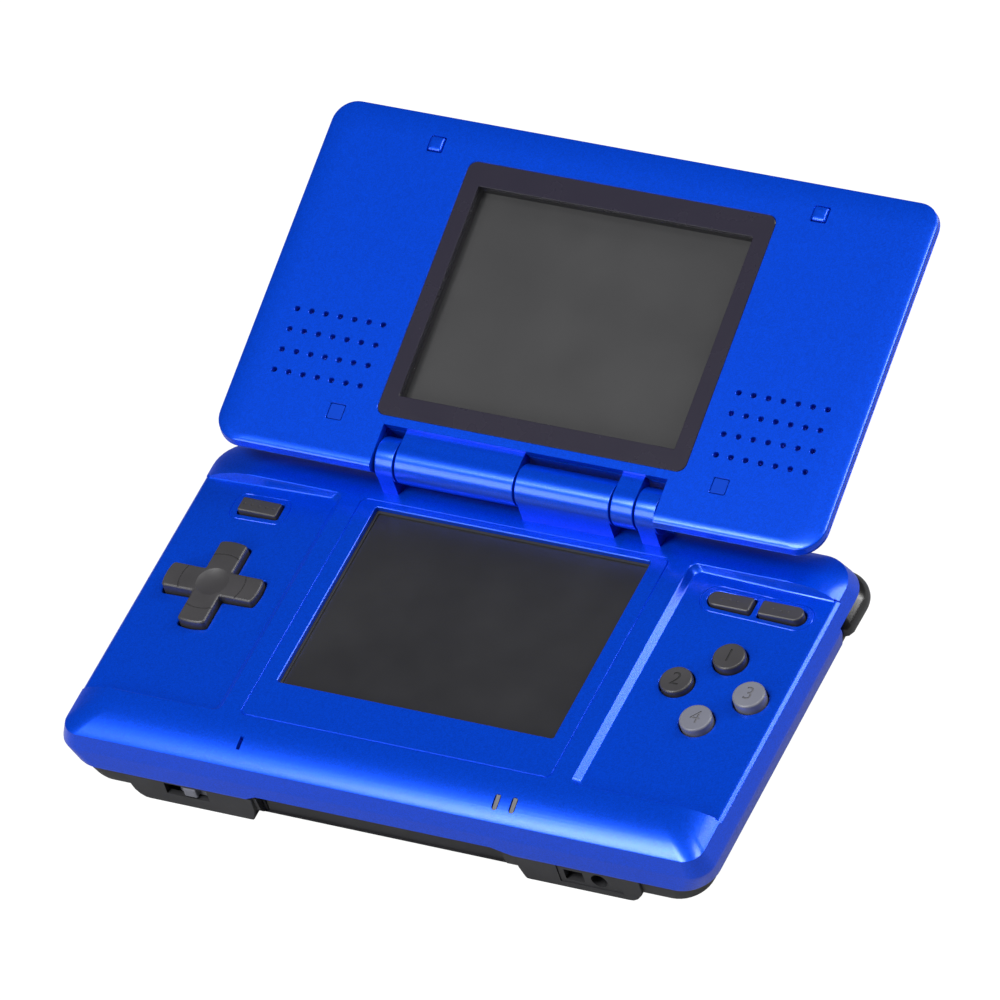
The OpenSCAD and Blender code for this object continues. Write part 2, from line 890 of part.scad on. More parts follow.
module base_bottom_shell() {
  color(dark_plastic) placed() difference() {
    union() {
      difference() {
        union() {
          bottom_form();
          along_y(pod_front_y, pod_rear_y)
            pod_profile(pod_left[0], pod_left[1], 0, 0);
          along_y(pod_front_y, pod_rear_y)
            pod_profile(pod_right[1], pod_right[0], 0, 0);
        }
        rounded_plate(foot_half_x - belly_side_wall, front_wall_y + belly_wall, rear_wall_y - belly_wall,
          corner_r - belly_wall, floor_z, seam_z + past);
        pod_hollow(pod_left[0], pod_left[1]);
        pod_hollow(pod_right[1], pod_right[0]);
        battery_cover_outline(0, belly_z - past, floor_z + past);
      }
      at_case_screws()
        post_at(0, 0, boss_r, floor_z - past, board_z);
      // posts of the shoulder pins
      both_sides()
        block(shoulder_in_x - post_in, shoulder_in_x + post_l, shoulder_leg_y, rear_wall_y - wall,
          post_z, seam_z);
      // bracket of the battery cover's screw
      block(battery_x - bracket_half_w, battery_x + bracket_half_w, cover_front_y - bracket_front,
        cover_front_y, floor_z - bracket_root, floor_z + bracket_h);
      block(battery_x - bracket_half_w, battery_x + bracket_half_w, cover_front_y - bracket_lap,
        cover_screw_y + bracket_rear, floor_z, floor_z + bracket_h);
      // rings round the feet
      both_sides()
        post_at(foot_x, foot_y, foot_r + foot_ring, belly_z + ring_root, foot_ring_z);
    }
    // window of the volume slider and the seat of the audio sockets
    block(slider_x - slider_window_w / 2, slider_x + slider_window_w / 2, pod_front_y - past,
      pod_front_y + slider_window_d, slider_z - slider_window_h / 2, slider_z + slider_window_h / 2);
    block(port_block[0], port_block[1], pod_front_y - past, pod_front_y + port_d, port_z, seam_z + past);
    // cartridge slot
    block(slot_x - slot_half_x - slot_skin, slot_x + slot_half_x + slot_skin, front_wall_y - past,
      slot_rear_y, slot_floor_z, seam_z + past);
    post_at(battery_x, cover_screw_y, screw_r, floor_z - past, screw_seat_z + cover_screw_l);
    card_mouth();
    inlet_mouth();
    stylus_mouth();
    at_case_screws() {
      post_at(0, 0, screw_r + screw_fit, -past, board_z + past);
      post_at(0, 0, screw_head_r + screw_head_gap, -past, screw_seat_z);
    }
    both_sides() {
      post_at(foot_x, foot_y, foot_r + foot_gap, -past, foot_seat_z);
      post_at(shoulder_pin_x, shoulder_pin_y, shoulder_pin_r, seam_z - past, seam_z + past);
    }
  }
}

module touch_gasket() {
  color(rubber) placed() difference() {
    pocket_plate(gasket_gap, touch_surface_z, gasket_top_z);
    touch_opening(touch_surface_z - past, top_z);
  }
}

module touch_panel() {
  color(glass_dark) placed()
    pocket_plate(touch_gap, touch_surface_z - touch_t, touch_surface_z);
}

module lower_lcd() {
  color(steel) placed() difference() {
    pocket_plate(lcd_gap, shield_top_z, touch_surface_z - touch_t);
    block(-picture_w / 2, picture_w / 2, touch_y - picture_d / 2, touch_y + picture_d / 2,
      touch_surface_z - touch_t - picture_sink, touch_surface_z);
  }
}

module main_board() {
  color(board_green) placed() difference() {
    rounded_plate(board_half_x, board_front_y, board_rear_y, board_corner_r, board_z, board_top_z);
    at_case_screws()
      post_at(0, 0, screw_r + 2 * screw_fit, board_z - past, board_top_z + past);
    both_sides()
      block(shoulder_leg_x - shoulder_swing - board_clear, board_half_x + past,
        shoulder_front_y - shoulder_swing - board_clear, board_rear_y + past, board_z - past, board_top_z + past);
  }
}

module board_shield() {
  color(steel) placed() difference() {
    block(-shield_x, shield_x, -shield_y, shield_y, board_top_z, shield_top_z);
    block(-shield_x + shield_wall, shield_x - shield_wall, -shield_y + shield_wall, shield_y - shield_wall,
      board_top_z - past, shield_top_z - shield_wall);
  }
}

// Battery pack with three sunk contacts in its rear end
module battery() {
  color(mid_grey) placed() difference() {
    block(battery_x - battery_w / 2, battery_x + battery_w / 2, battery_y - battery_d / 2,
      battery_y + battery_d / 2, battery_z, battery_z + battery_h);
    for (k = [-1 : 1])
      block(battery_x + contact_pitch * k - contact_w / 2, battery_x + contact_pitch * k + contact_w / 2,
        battery_y + battery_d / 2 - contact_d, battery_y + battery_d / 2 + past,
        battery_z + contact_z, battery_z + contact_z + contact_h);
  }
}

module battery_cover() {
  color(dark_plastic) placed() difference() {
    battery_cover_outline(cover_fit, belly_z, floor_z);
    post_at(battery_x, cover_screw_y, screw_head_r + screw_fit, -past, screw_seat_z);
    post_at(battery_x, cover_screw_y, screw_r + screw_fit, -past, floor_z + past);
    // grip grooves
    for (k = [0 : 4])
      block(battery_x - rib_half_w, battery_x + rib_half_w, battery_y + rib_y + rib_pitch * k,
        battery_y + rib_y + rib_w + rib_pitch * k, belly_z - past, belly_z + rib_d);
  }
}

// Screw that goes in from below: cross-slotted head seated at z
module screw_up(z, l) {
  difference() {
    union() {
      post_at(0, 0, screw_head_r, z - head_t, z);
      post_at(0, 0, screw_r - thread_gap, z - e, z - e + l);
    }
    for (a = [0, 90])
      rotate([0, 0, a])
        block(-screw_head_r / 2, screw_head_r / 2, -screw_slot_w / 2, screw_slot_w / 2,
          z - head_t - past, z - head_t + screw_slot_d);
  }
}

module battery_cover_screw() {
  color(steel) placed()
    translate([battery_x, cover_screw_y, 0])
      screw_up(screw_seat_z, cover_screw_l);
}

module case_screws() {
  color(steel) placed()
    at_case_screws()
      screw_up(screw_seat_z, case_screw_l);
}

module rear_feet() {
  color(rubber) placed()
    both_sides()
      post_at(foot_x, foot_y, foot_r, 0, foot_seat_z);
}

module card_slot() {
  color(dark_plastic) placed() difference() {
    block(-card_w / 2 - card_skin, card_w / 2 + card_skin, card_front_y - card_skin, rear_wall_y - mouth_in,
      card_z - card_skin, board_z);
    block(-card_w / 2, card_w / 2, card_front_y, rear_wall_y + past, card_z, card_z + card_h);
  }
}

module cartridge_slot() {
  color(dark_plastic) placed() difference() {
    block(slot_x - slot_half_x - slot_skin, slot_x + slot_half_x + slot_skin, slot_front_y, slot_rear_y,
      slot_floor_z, slot_top_z + slot_skin);
    block(slot_x - slot_half_x, slot_x + slot_half_x, slot_front_y - past, slot_rear_y - slot_skin,
      slot_floor_z - past, slot_top_z);
  }
}

// Blank that fills the cartridge slot: a front plate with two side arms
module slot_cover() {
  color(dark_plastic) placed() difference() {
    block(slot_x - slot_half_x + cover_gap, slot_x + slot_half_x - cover_gap, slot_front_y,
      slot_front_y + cover_l, slot_floor_z + cover_lift, slot_top_z - cover_gap);
    block(slot_x - slot_half_x + cover_gap + cover_wall, slot_x + slot_half_x - cover_gap - cover_wall,
      slot_front_y + cover_wall, slot_front_y + cover_l + past, slot_floor_z - past, slot_top_z + past);
  }
}

module stylus() {
  color(dark_plastic) placed()
    translate([stylus_x, rear_wall_y - stylus_in, stylus_z])
      rotate([90, 0, 0]) {
        cylinder(r = stylus_d / 2, h = stylus_l - stylus_cone);
        translate([0, 0, stylus_l - stylus_cone - e])
          cylinder(r1 = stylus_d / 2, r2 = stylus_tip / 2, h = stylus_cone);
      }
}

module stylus_silo() {
  color(dark_plastic) placed() difference() {
    union() {
      translate([stylus_x, rear_wall_y - mouth_in, stylus_z])
        rotate([90, 0, 0])
          cylinder(r = silo_r, h = stylus_l);
      // ribs that stand on the floor of the shell
      for (y = silo_ribs)
        block(stylus_x - silo_rib_w / 2, stylus_x + silo_rib_w / 2, y, y + silo_rib_w, floor_z,
          stylus_z - stylus_d / 2 - 2 * stylus_gap);
    }
    translate([stylus_x, rear_wall_y + past, stylus_z])
      rotate([90, 0, 0])
        cylinder(r = stylus_d / 2 + stylus_gap, h = stylus_l + far);
  }
}

// Cross pad with a round dimple in its middle
module dpad() {
  color(dark_plastic) placed()
    translate([pad_x, pad_y, 0])
      difference() {
        union() {
          translate([0, 0, flange_z])
            linear_extrude(pad_top_z - flange_z)
              cross_outline(pad_arm, pad_w);
          post_at(0, 0, pad_flange_r, flange_z, flange_z + flange_t);
        }
        translate([0, 0, pad_top_z + dimple_r - dimple_d])
          sphere(dimple_r, $fn = fine_fn);
      }
}

module dpad_pivot() {
  color(steel) placed()
    post_at(pad_x, pad_y, pivot_r, board_top_z + pivot_foot, flange_z - pivot_head);
}

module dpad_membrane() {
  color(rubber) placed()
    translate([pad_x, pad_y, 0])
      difference() {
        union() {
          block(-pad_sheet, pad_sheet, -pad_sheet, pad_sheet, board_top_z, board_top_z + sheet_t);
          for (a = [0 : 90 : 270])
            rotate([0, 0, a])
              post_at(pad_dome_x, 0, dome_r, board_top_z, dome_z);
        }
        post_at(0, 0, pivot_hole_r, board_top_z - past, dome_z);
      }
}

// Round key with a rounded rim and a retaining flange
module face_button() {
  post_at(0, 0, face_top_r, flange_z, face_top_z - rim);
  translate([0, 0, face_top_z - rim - e])
    cylinder(r1 = face_top_r, r2 = face_top_r - rim, h = rim + e);
  post_at(0, 0, face_top_r + flange, flange_z, flange_z + flange_t);
}

module face_button_at(a, tint) {
  color(tint) placed()
    translate([cluster_x, cluster_y, 0])
      rotate([0, 0, a])
        translate([cluster_r, 0, 0])
          face_button();
}

module face_button_top() {
  face_button_at(90, dark_plastic);
}

module face_button_left() {
  face_button_at(180, dark_plastic);
}

module face_button_right() {
  face_button_at(0, mid_grey);
}

module face_button_bottom() {
  face_button_at(270, mid_grey);
}

module face_button_membrane() {
  color(rubber) placed() {
    post_at(cluster_x, cluster_y, cluster_r + cluster_sheet, board_top_z, board_top_z + sheet_t);
    at_face_keys()
      post_at(0, 0, dome_r, board_top_z, dome_z);
  }
}

module small_key(side) {
  translate([0, 0, flange_z])
    linear_extrude(small_top_z - flange_z)
      bar_outline(small_l, small_w, side);
  translate([0, 0, flange_z])
    linear_extrude(flange_t)
      square([small_l + 2 * small_flange_x, small_w + 2 * small_flange_y], center = true);
}

module select_button() {
  color(dark_plastic) placed()
    translate([select_x, small_y, 0])
      small_key(-1);
}

module start_button() {
  color(dark_plastic) placed()
    translate([start_x, small_y, 0])
      small_key(1);
}

module start_select_membrane() {
  color(rubber) placed() {
    block(select_x - small_sheet_x, start_x + small_sheet_x, small_y - small_sheet_front,
      small_y + small_sheet_rear, board_top_z, board_top_z + sheet_t);
    for (x = [select_x, start_x])
      post_at(x, small_y, small_dome_r, board_top_z, dome_z);
  }
}

module power_button() {
  color(dark_plastic) placed()
    translate([power_x, small_y, flange_z]) {
      linear_extrude(small_top_z - flange_z)
        square([power_l, power_w], center = true);
      linear_extrude(flange_t)
        square([power_l + 2 * small_flange_x, power_w + 2 * small_flange_y], center = true);
    }
}

module power_switch() {
  color(steel) placed() {
    block(power_x - power_body, power_x + power_body, small_y - power_body, small_y + power_body,
      board_top_z, board_top_z + power_body_h);
    post_at(power_x, small_y, small_dome_r, board_top_z, dome_z);
  }
}

// Knob of the volume slider with the guide that runs behind its window
module volume_slider() {
  color(mid_grey) placed() {
    block(slider_rest_x - knob_w / 2, slider_rest_x + knob_w / 2, pod_front_y - knob_out,
      slider_body_y - body_gap, slider_z - knob_h / 2, slider_z + knob_h / 2);
    block(slider_rest_x - knob_w, slider_rest_x + knob_w, pod_front_y + pod_wall + guide_gap,
      slider_body_y - body_gap, slider_z - slider_window_h / 2, slider_z + slider_window_h / 2);
  }
}

module volume_switch_body() {
  color(steel) placed()
    block(slider_x - slider_body_w / 2, slider_x + slider_body_w / 2, slider_body_y + body_gap,
      slider_body_y + slider_body_d, slider_body_z, board_z);
}

module audio_port() {
  color(dark_plastic) placed() {
    difference() {
      block(port_block[0] + port_gap, port_block[1] - port_gap, pod_front_y + port_in,
        pod_front_y + jack_l + port_wall, port_z + port_foot_gap, seam_z);
      translate([jack_x, pod_front_y - past, jack_z])
        rotate([-90, 0, 0])
          cylinder(r = jack_bore_d / 2, h = jack_l + port_wall);
      block(port_x - port_w / 2, port_x + port_w / 2, pod_front_y - past, pod_front_y + port_hole_l,
        jack_z - port_h / 2, jack_z + port_h / 2);
    }
    // stand that hangs the sockets from the board
    block(port_block[0] + stand_in, port_block[1] - stand_in, pod_front_y + stand_y,
      pod_front_y + jack_l + port_wall, seam_z - e, board_z);
  }
}

module power_inlet() {
  color(dark_plastic) placed() difference() {
    block(inlet_x - inlet_w / 2 - inlet_wall, inlet_x + inlet_w / 2 + inlet_wall,
      rear_wall_y - mouth_in - inlet_l, rear_wall_y - mouth_in, inlet_z - inlet_h / 2 - inlet_wall, board_z);
    block(inlet_x - inlet_w / 2, inlet_x + inlet_w / 2, rear_wall_y - inlet_l + inlet_wall, rear_wall_y + past,
      inlet_z - inlet_h / 2, inlet_z + inlet_h / 2);
  }
}

// Light pipe: its sloped top follows the front roll and its foot stands on the board
module light_pipes() {
  color(mid_grey) placed()
    for (x = led_x)
      along_x(x - led_w / 2 + led_gap, x + led_w / 2 - led_gap)
        polygon([
          [led_y - led_l / 2 + led_gap, roll_z(led_y - led_l / 2) - led_sink_front],
          [led_y + led_l / 2 - led_gap, roll_z(led_y + led_l / 2) - led_sink_rear],
          [led_y + led_l / 2 - led_gap, board_top_z], [led_y - led_l / 2 + led_gap, board_top_z]]);
}

module microphone() {
  color(steel) placed()
    post_at(mic_x, mic_y, mic_r, board_top_z, mic_top_z);
}

// Radio board with its metal can
module wireless_module() {
  color(board_green) placed()
    block(wireless_x, wireless_x + wireless_w, wireless_y, wireless_y + wireless_d,
      board_top_z, board_top_z + wireless_t);
  color(steel) placed()
    block(wireless_x + can_edge, wireless_x + can_edge + can_w, wireless_y + can_edge,
      wireless_y + can_edge + can_d, board_top_z + wireless_t - e, board_top_z + wireless_t + can_h);
}

// Shoulder button, right side, about its vertical pin
module shoulder_slice(inset, z) {
  post_at(shoulder_in_x + shoulder_end_r, shoulder_leg_y + shoulder_end_r, shoulder_end_r, z, z + skin);
  post_at(shoulder_in_x + shoulder_end_r, shoulder_rear_y - shoulder_end_r - inset, shoulder_end_r, z, z + skin);
  post_at(shoulder_x - shoulder_r, shoulder_rear_y - shoulder_r, shoulder_r - inset, z, z + skin);
  post_at(shoulder_leg_x + shoulder_end_r, shoulder_front_y + shoulder_end_r + inset / 2,
    shoulder_end_r, z, z + skin);
  post_at(shoulder_x - shoulder_nose_r - inset, shoulder_front_y + shoulder_nose_r + inset / 2,
    shoulder_nose_r, z, z + skin);
}

module shoulder_body() {
  difference() {
    hull() {
      shoulder_slice(0, shoulder_z0);
      shoulder_slice(0, shoulder_z1 - shoulder_chamfer);
      shoulder_slice(shoulder_chamfer * shoulder_lean, shoulder_z1 - skin);
    }
    block(shoulder_in_x - past, shoulder_leg_x, shoulder_front_y - past, shoulder_leg_y,
      shoulder_z0 - past, shoulder_z1 + past);
    post_at(shoulder_pin_x, shoulder_pin_y, shoulder_pin_r + pin_gap, shoulder_z0 - past, shoulder_z1 + past);
  }
}

module shoulder_right() {
  color(rubber) placed()
    shoulder_body();
}

module shoulder_left() {
  color(rubber) placed()
    mirror([1, 0, 0])
      shoulder_body();
}

module shoulder_pins() {
  color(steel) placed()
    both_sides()
      post_at(shoulder_pin_x, shoulder_pin_y, shoulder_pin_r, seam_z - past, shoulder_z1 + pin_top);
}

// Coiled springs round the pins, drawn as plain rings
module shoulder_springs() {
  color(steel) placed()
    both_sides()
      difference() {
        post_at(shoulder_pin_x, shoulder_pin_y, spring_r, seam_z, shoulder_z0 - spring_gap);
        post_at(shoulder_pin_x, shoulder_pin_y, spring_bore_r, seam_z - past, shoulder_z0 + past);
      }
}

// Switch on the board with the plunger that reaches the shoulder button
module shoulder_switches() {
  color(steel) placed()
    both_sides() {
      block(switch_x - switch_half_w, switch_x + switch_half_w, board_rear_y - switch_d, board_rear_y,
        board_top_z, board_top_z + switch_h);
      translate([switch_x, board_rear_y - e, board_top_z + switch_h / 2])
        rotate([-90, 0, 0])
          cylinder(r = plunger_r, h = shoulder_leg_y - board_rear_y - plunger_gap);
    }
}

// Lid, drawn closed in the hinge's frame

module lid_knuckle(x0, x1) {
  along_x(x0, x1) {
    circle(barrel_r);
    polygon([
      [0, -barrel_r], [notch_y, lid_in_z + web_low], [notch_y - web_front, lid_in_z + web_back_low],
      [notch_y - web_front, lid_web_z], [notch_y, lid_web_z],
      [-barrel_r * sin(web_angle), barrel_r * cos(web_angle)], [0, 0]]);
  }
}

module lid_notch() {
  block(-notch_x, notch_x, notch_y, lid_rear_y + far, lid_in_z - past, lid_out_z + past);
}

// Inner half of the lid: a straight rim and the soft roll up to its flat
module lid_front_form() {
  hull() {
    posts(lid_half_x, -lid_reach, lid_rear_y, lid_far_r, lid_seam_z - skin, lid_near_r);
    for (k = [0 : roll_steps])
      posts(lid_half_x - lid_roll * (1 - cos(90 * k / roll_steps)),
        -lid_reach + lid_roll * (1 - cos(90 * k / roll_steps)),
        lid_rear_y - lid_rear_lean - lid_front_rear_run * (1 - cos(90 * k / roll_steps)),
        lid_far_r - lid_front_corner * k / roll_steps,
        lid_in_z + (lid_rim_drop - lid_rim_wall) * (1 - sin(90 * k / roll_steps)),
        lid_near_r - lid_front_corner * k / roll_steps);
  }
}

// Outer half of the lid: its edge leans in from the seam and runs softly into the flat
function lean_in(a) = (cos(lid_back_start) - cos(a)) / cos(lid_back_start);
function lean_up(a) = (sin(a) - sin(lid_back_start)) / (1 - sin(lid_back_start));

module lid_back_form(inset) {
  hull() {
    for (a = lid_back_angles)
      posts(lid_half_x - inset - lid_back_run * lean_in(a), -lid_reach + inset + lid_back_run * lean_in(a),
        lid_rear_y - inset - lid_back_rear_run * lean_in(a), lid_far_r - inset + lid_back_corner * lean_up(a),
        lid_seam_z + (lid_t - lid_rim_drop - inset - skin) * lean_up(a),
        lid_near_r - inset + lid_back_corner * lean_up(a));
    along_x(-lid_half_x + lid_near_r + lid_rear_in, lid_half_x - lid_near_r - lid_rear_in)
      intersection() {
        circle(lid_rear_r - inset);
        translate([-far, lid_seam_z])
          square(2 * far);
      }
  }
}

module window_plate(margin, z0, z1) {
  block(-window_w / 2 - margin, window_w / 2 + margin, window_y - window_d / 2 - margin,
    window_y + window_d / 2 + margin, z0, z1);
}

module lens_plate(gap, z0, z1) {
  block(-lens_w / 2 - gap, lens_w / 2 + gap, lens_y - lens_d / 2 - gap, lens_y + lens_d / 2 + gap, z0, z1);
}

module at_lid_screws() {
  for (s = lid_screw_spots)
    translate([s[0], s[1], 0])
      children();
}

// Square plug over a lid screw
module plug(room, z0, z1) {
  block(-bumper_w / 2 - room, bumper_w / 2 + room, -bumper_w / 2 - room, bumper_w / 2 + room, z0, z1);
}

module lid_inner_shell() {
  color(shell_blue) placed() in_lid() difference() {
    union() {
      difference() {
        lid_front_form();
        lid_notch();
      }
      for (k = lid_knuckles)
        lid_knuckle(k[0], k[1]);
    }
    // seat of the lens and the window through the plate
    lens_plate(lens_gap, lid_in_z - past, lid_in_z + lens_t);
    window_plate(window_margin, lid_in_z - past, lid_seam_z + past);
    // speaker holes
    for (sx = [-1, 1])
      for (i = [-speaker_columns : speaker_columns])
        for (j = [-speaker_rows : 1 : speaker_rows])
          translate([sx * speaker_x + i * speaker_pitch_x, speaker_y + j * speaker_pitch_y, lid_in_z - past])
            cylinder(r = speaker_hole_r, h = lid_rim_drop + 2 * past, $fn = hole_facets);
    at_lid_screws() {
      plug(cap_room, lid_in_z - past, lid_in_z + cap_seat);
      post_at(0, 0, screw_r + screw_fit, lid_in_z - past, lid_seam_z + past);
    }
    // bore of the hinge's cam unit and of the right pin
    along_x(cam_x0 - past, cam_x1)
      circle(cam_r + cam_gap);
    along_x(lid_knuckles[1][0] - past, lid_knuckles[1][1] + past)
      circle(pin_r + pin_gap);
  }
}

module lid_outer_shell() {
  color(shell_blue) placed() in_lid() difference() {
    union() {
      difference() {
        lid_back_form(0);
        translate([0, 0, -e])
          lid_back_form(lid_wall);
        lid_notch();
      }
      // wall that closes the notch, and its two cheeks
      block(-notch_x - lid_wall, notch_x + lid_wall, notch_y - lid_wall, notch_y,
        lid_seam_z + notch_wall_in, lid_out_z - notch_wall_in);
      both_sides()
        block(notch_x, notch_x + lid_wall, notch_y - cheek_front, cheek_rear_y,
          lid_seam_z + notch_wall_in, cheek_top_z);
      // screw bosses, cut off inside the outer face
      intersection() {
        at_lid_screws()
          post_at(0, 0, boss_r, lid_seam_z + skin, lid_seam_z + skin + lid_boss_h);
        lid_back_form(lid_wall / 2);
      }
    }
    // clearance round the lid knuckles' webs
    for (k = lid_knuckles)
      block(k[0] - web_side_gap, k[1] + web_side_gap, notch_y - web_front - past, notch_y + past,
        lid_seam_z - past, lid_web_z + web_top_gap);
    at_lid_screws()
      post_at(0, 0, screw_r, lid_seam_z - past, lid_seam_z - past + lid_thread);
  }
}

module upper_lens() {
  color(glass_dark) placed() in_lid()
    lens_plate(0, lid_in_z + lens_lift, lid_in_z + lens_t);
}

module upper_lcd() {
  color(steel) placed() in_lid() difference() {
    window_plate(lcd_rim, lid_seam_z, lid_in_z + lcd_depth + lcd_t);
    window_plate(0, lid_seam_z - past, lid_in_z + lcd_depth);
  }
}

module speaker_at(sx) {
  placed() in_lid()
    translate([sx * speaker_x, speaker_y, lid_seam_z]) {
      color(dark_plastic) difference() {
        post_at(0, 0, speaker_r, 0, speaker_t);
        post_at(0, 0, speaker_r - speaker_wall, -past, speaker_hollow);
      }
      color(steel)
        post_at(0, 0, magnet_r, speaker_t - e, speaker_t + magnet_t);
    }
}

module speaker_left() {
  speaker_at(-1);
}

module speaker_right() {
  speaker_at(1);
}

module lid_bumpers() {
  color(rubber) placed() in_lid()
    both_sides()
      translate([bumper_x, bumper_y, 0])
        plug(0, lid_in_z - bumper_out, lid_in_z + cap_low);
}

module lid_caps() {
  color(shell_blue) placed() in_lid()
    both_sides()
      translate([cap_x, cap_y, 0])
        plug(0, lid_in_z + cap_in, lid_in_z + cap_low);
}

module lid_screws() {
  color(steel) placed() in_lid()
    at_lid_screws() {
      post_at(0, 0, lid_head_r, lid_in_z + cap_low, lid_in_z + cap_seat);
      post_at(0, 0, screw_r - thread_gap, lid_in_z + cap_low, lid_in_z + cap_low + lid_screw_l);
    }
}

// Barrel that holds the hinge at its stops, with a bore for the left pin
module hinge_cam_unit() {
  color(steel) placed() in_lid() difference() {
    along_x(cam_x0, cam_x1)
      circle(cam_r);
    along_x(cam_x0 - past, cam_x0 + cam_bore_l)
      circle(pin_r + pin_gap);
  }
}

module hinge_pin_left() {
  color(steel) placed()
    on_hinge(pin_left_x, pin_left_x + pin_left_l, pin_r);
}

module hinge_pin_right() {
  color(steel) placed()
    on_hinge(pin_right_x0, pin_right_x1, pin_r);
}

// Flat ribbon from the board, coiled once round the hinge axis
module display_ribbon() {
  color(ribbon_amber) placed() {
    difference() {
      on_hinge(ribbon_x - ribbon_w / 2, ribbon_x + ribbon_w / 2, ribbon_r);
      on_hinge(ribbon_x - ribbon_w / 2 - past, ribbon_x + ribbon_w / 2 + past, ribbon_r - coil_t);
    }
    block(ribbon_x - ribbon_w / 2, ribbon_x + ribbon_w / 2, hinge_y - ribbon_t / 2, hinge_y + ribbon_t / 2,
      board_top_z, hinge_z - ribbon_r + coil_t / 2);
    block(ribbon_x - ribbon_w / 2, ribbon_x + ribbon_w / 2, board_rear_y - ribbon_lap, hinge_y + ribbon_t / 2,
      board_top_z, board_top_z + ribbon_foot_t);
  }
}

base_top_shell();
base_bottom_shell();
touch_gasket();
touch_panel();
lower_lcd();
main_board();
board_shield();
battery();
battery_cover();
battery_cover_screw();
case_screws();
rear_feet();
card_slot();
cartridge_slot();
slot_cover();
stylus();
stylus_silo();
dpad();
dpad_pivot();
dpad_membrane();
face_button_top();
face_button_left();
face_button_right();
face_button_bottom();
face_button_membrane();
select_button();
start_button();
start_select_membrane();
power_button();
power_switch();
volume_slider();
volume_switch_body();
audio_port();
power_inlet();
light_pipes();
microphone();
wireless_module();
shoulder_left();
shoulder_right();
shoulder_pins();
shoulder_springs();
shoulder_switches();
hinge_cam_unit();
hinge_pin_left();
hinge_pin_right();
lid_inner_shell();
lid_outer_shell();
upper_lens();
upper_lcd();
speaker_left();
speaker_right();
lid_bumpers();
lid_caps();
lid_screws();
display_ribbon();
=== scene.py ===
import json
from contextlib import contextmanager
from math import asin, atan, cos, pi, radians, sin, sqrt, tan

import bmesh
import bpy
from bpy.props import FloatProperty, FloatVectorProperty, PointerProperty
from mathutils import Matrix, Vector


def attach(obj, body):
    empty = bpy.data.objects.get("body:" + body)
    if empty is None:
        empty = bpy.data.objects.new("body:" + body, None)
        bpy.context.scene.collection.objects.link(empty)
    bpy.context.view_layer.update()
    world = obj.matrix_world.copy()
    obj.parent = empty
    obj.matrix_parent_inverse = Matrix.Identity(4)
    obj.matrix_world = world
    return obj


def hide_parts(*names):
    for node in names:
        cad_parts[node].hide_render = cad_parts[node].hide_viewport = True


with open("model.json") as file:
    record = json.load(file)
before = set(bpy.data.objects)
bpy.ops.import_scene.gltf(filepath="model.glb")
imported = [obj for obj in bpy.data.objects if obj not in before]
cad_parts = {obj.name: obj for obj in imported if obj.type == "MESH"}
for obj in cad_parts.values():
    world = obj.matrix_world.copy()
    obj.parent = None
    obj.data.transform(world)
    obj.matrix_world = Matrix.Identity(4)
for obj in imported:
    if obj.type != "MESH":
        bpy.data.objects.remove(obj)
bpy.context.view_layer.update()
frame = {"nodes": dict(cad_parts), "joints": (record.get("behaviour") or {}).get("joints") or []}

bl_info = {
    "name": "Clamshell handheld console",
    "version": (1, 0, 0),
    "blender": (4, 5, 0),
    "location": "3D View > Sidebar > Console",
    "description": "Builds the visible pieces and finishes of an open dual screen handheld console",
    "category": "Add Mesh",
}

MM = 0.001
# Where the hinge lies in the base's own drawing, and from it the base's place in the frame
HINGE_DEPTH, HINGE_RISE = 35.0, 23.25
HINGE = next(j for j in frame["joints"] if j["name"] == "lid_hinge")
HINGE_Y = HINGE["pos_m"][1] / MM
HINGE_Z = HINGE["pos_m"][2] / MM
OPEN = radians(HINGE["range_deg"][1])
BASE_Y = HINGE_Y - HINGE_DEPTH


# Outlines and solids

def plate_outline(x0, x1, y0, y1, radii, steps=10):
    """Rounded rectangle, anticlockwise; radii go front left, front right, rear right, rear left."""
    if not isinstance(radii, (tuple, list)):
        radii = (radii,) * 4
    corners = [(x0, y0, 1, 1, 180), (x1, y0, -1, 1, 270), (x1, y1, -1, -1, 0), (x0, y1, 1, -1, 90)]
    points = []
    for (x, y, sx, sy, start), r in zip(corners, radii):
        r = max(r, 0.01)
        for k in range(steps + 1):
            a = radians(start + 90 * k / steps)
            points.append((x + sx * r + r * cos(a), y + sy * r + r * sin(a)))
    return points


def round_outline(cx, cy, r, steps):
    turns = [2 * pi * k / steps for k in range(steps)]
    return [(cx + r * cos(a), cy + r * sin(a)) for a in turns]


def quarter_turned(points, turn, cx, cy):
    """Points turned about the origin by quarter turns and then moved to (cx, cy)."""
    c, s = cos(turn * pi / 2), sin(turn * pi / 2)
    return [(cx + x * c - y * s, cy + x * s + y * c) for x, y in points]


def cross_outline(cx, cy, arm, half, inner):
    """Cross with arched arm ends, softened outer corners and small inner corners."""
    corner = 0.5
    reach = sqrt(arm * arm - half * half)
    span = asin((half - corner) / arm)
    # inner corner before the arm, then the arm's end, drawn for the arm along +X
    side = []
    for k in range(5):
        a = radians(180 - 90 * k / 4)
        side.append((half + inner + inner * cos(a), -half - inner + inner * sin(a)))
    side += [(reach - corner * 0.9, -half), (reach - corner * 0.25, -half + corner * 0.22)]
    for k in range(13):
        a = -span + 2 * span * k / 12
        side.append((arm * cos(a), arm * sin(a)))
    side += [(reach - corner * 0.25, half - corner * 0.22), (reach - corner * 0.9, half)]
    return [point for turn in range(4) for point in quarter_turned(side, turn, cx, cy)]


def show(name, data):
    obj = bpy.data.objects.new(name, data)
    bpy.context.scene.collection.objects.link(obj)
    return obj


@contextmanager
def editing(mesh):
    """Opens a mesh for editing and writes it back."""
    bm = bmesh.new()
    bm.from_mesh(mesh)
    yield bm
    bm.to_mesh(mesh)
    bm.free()


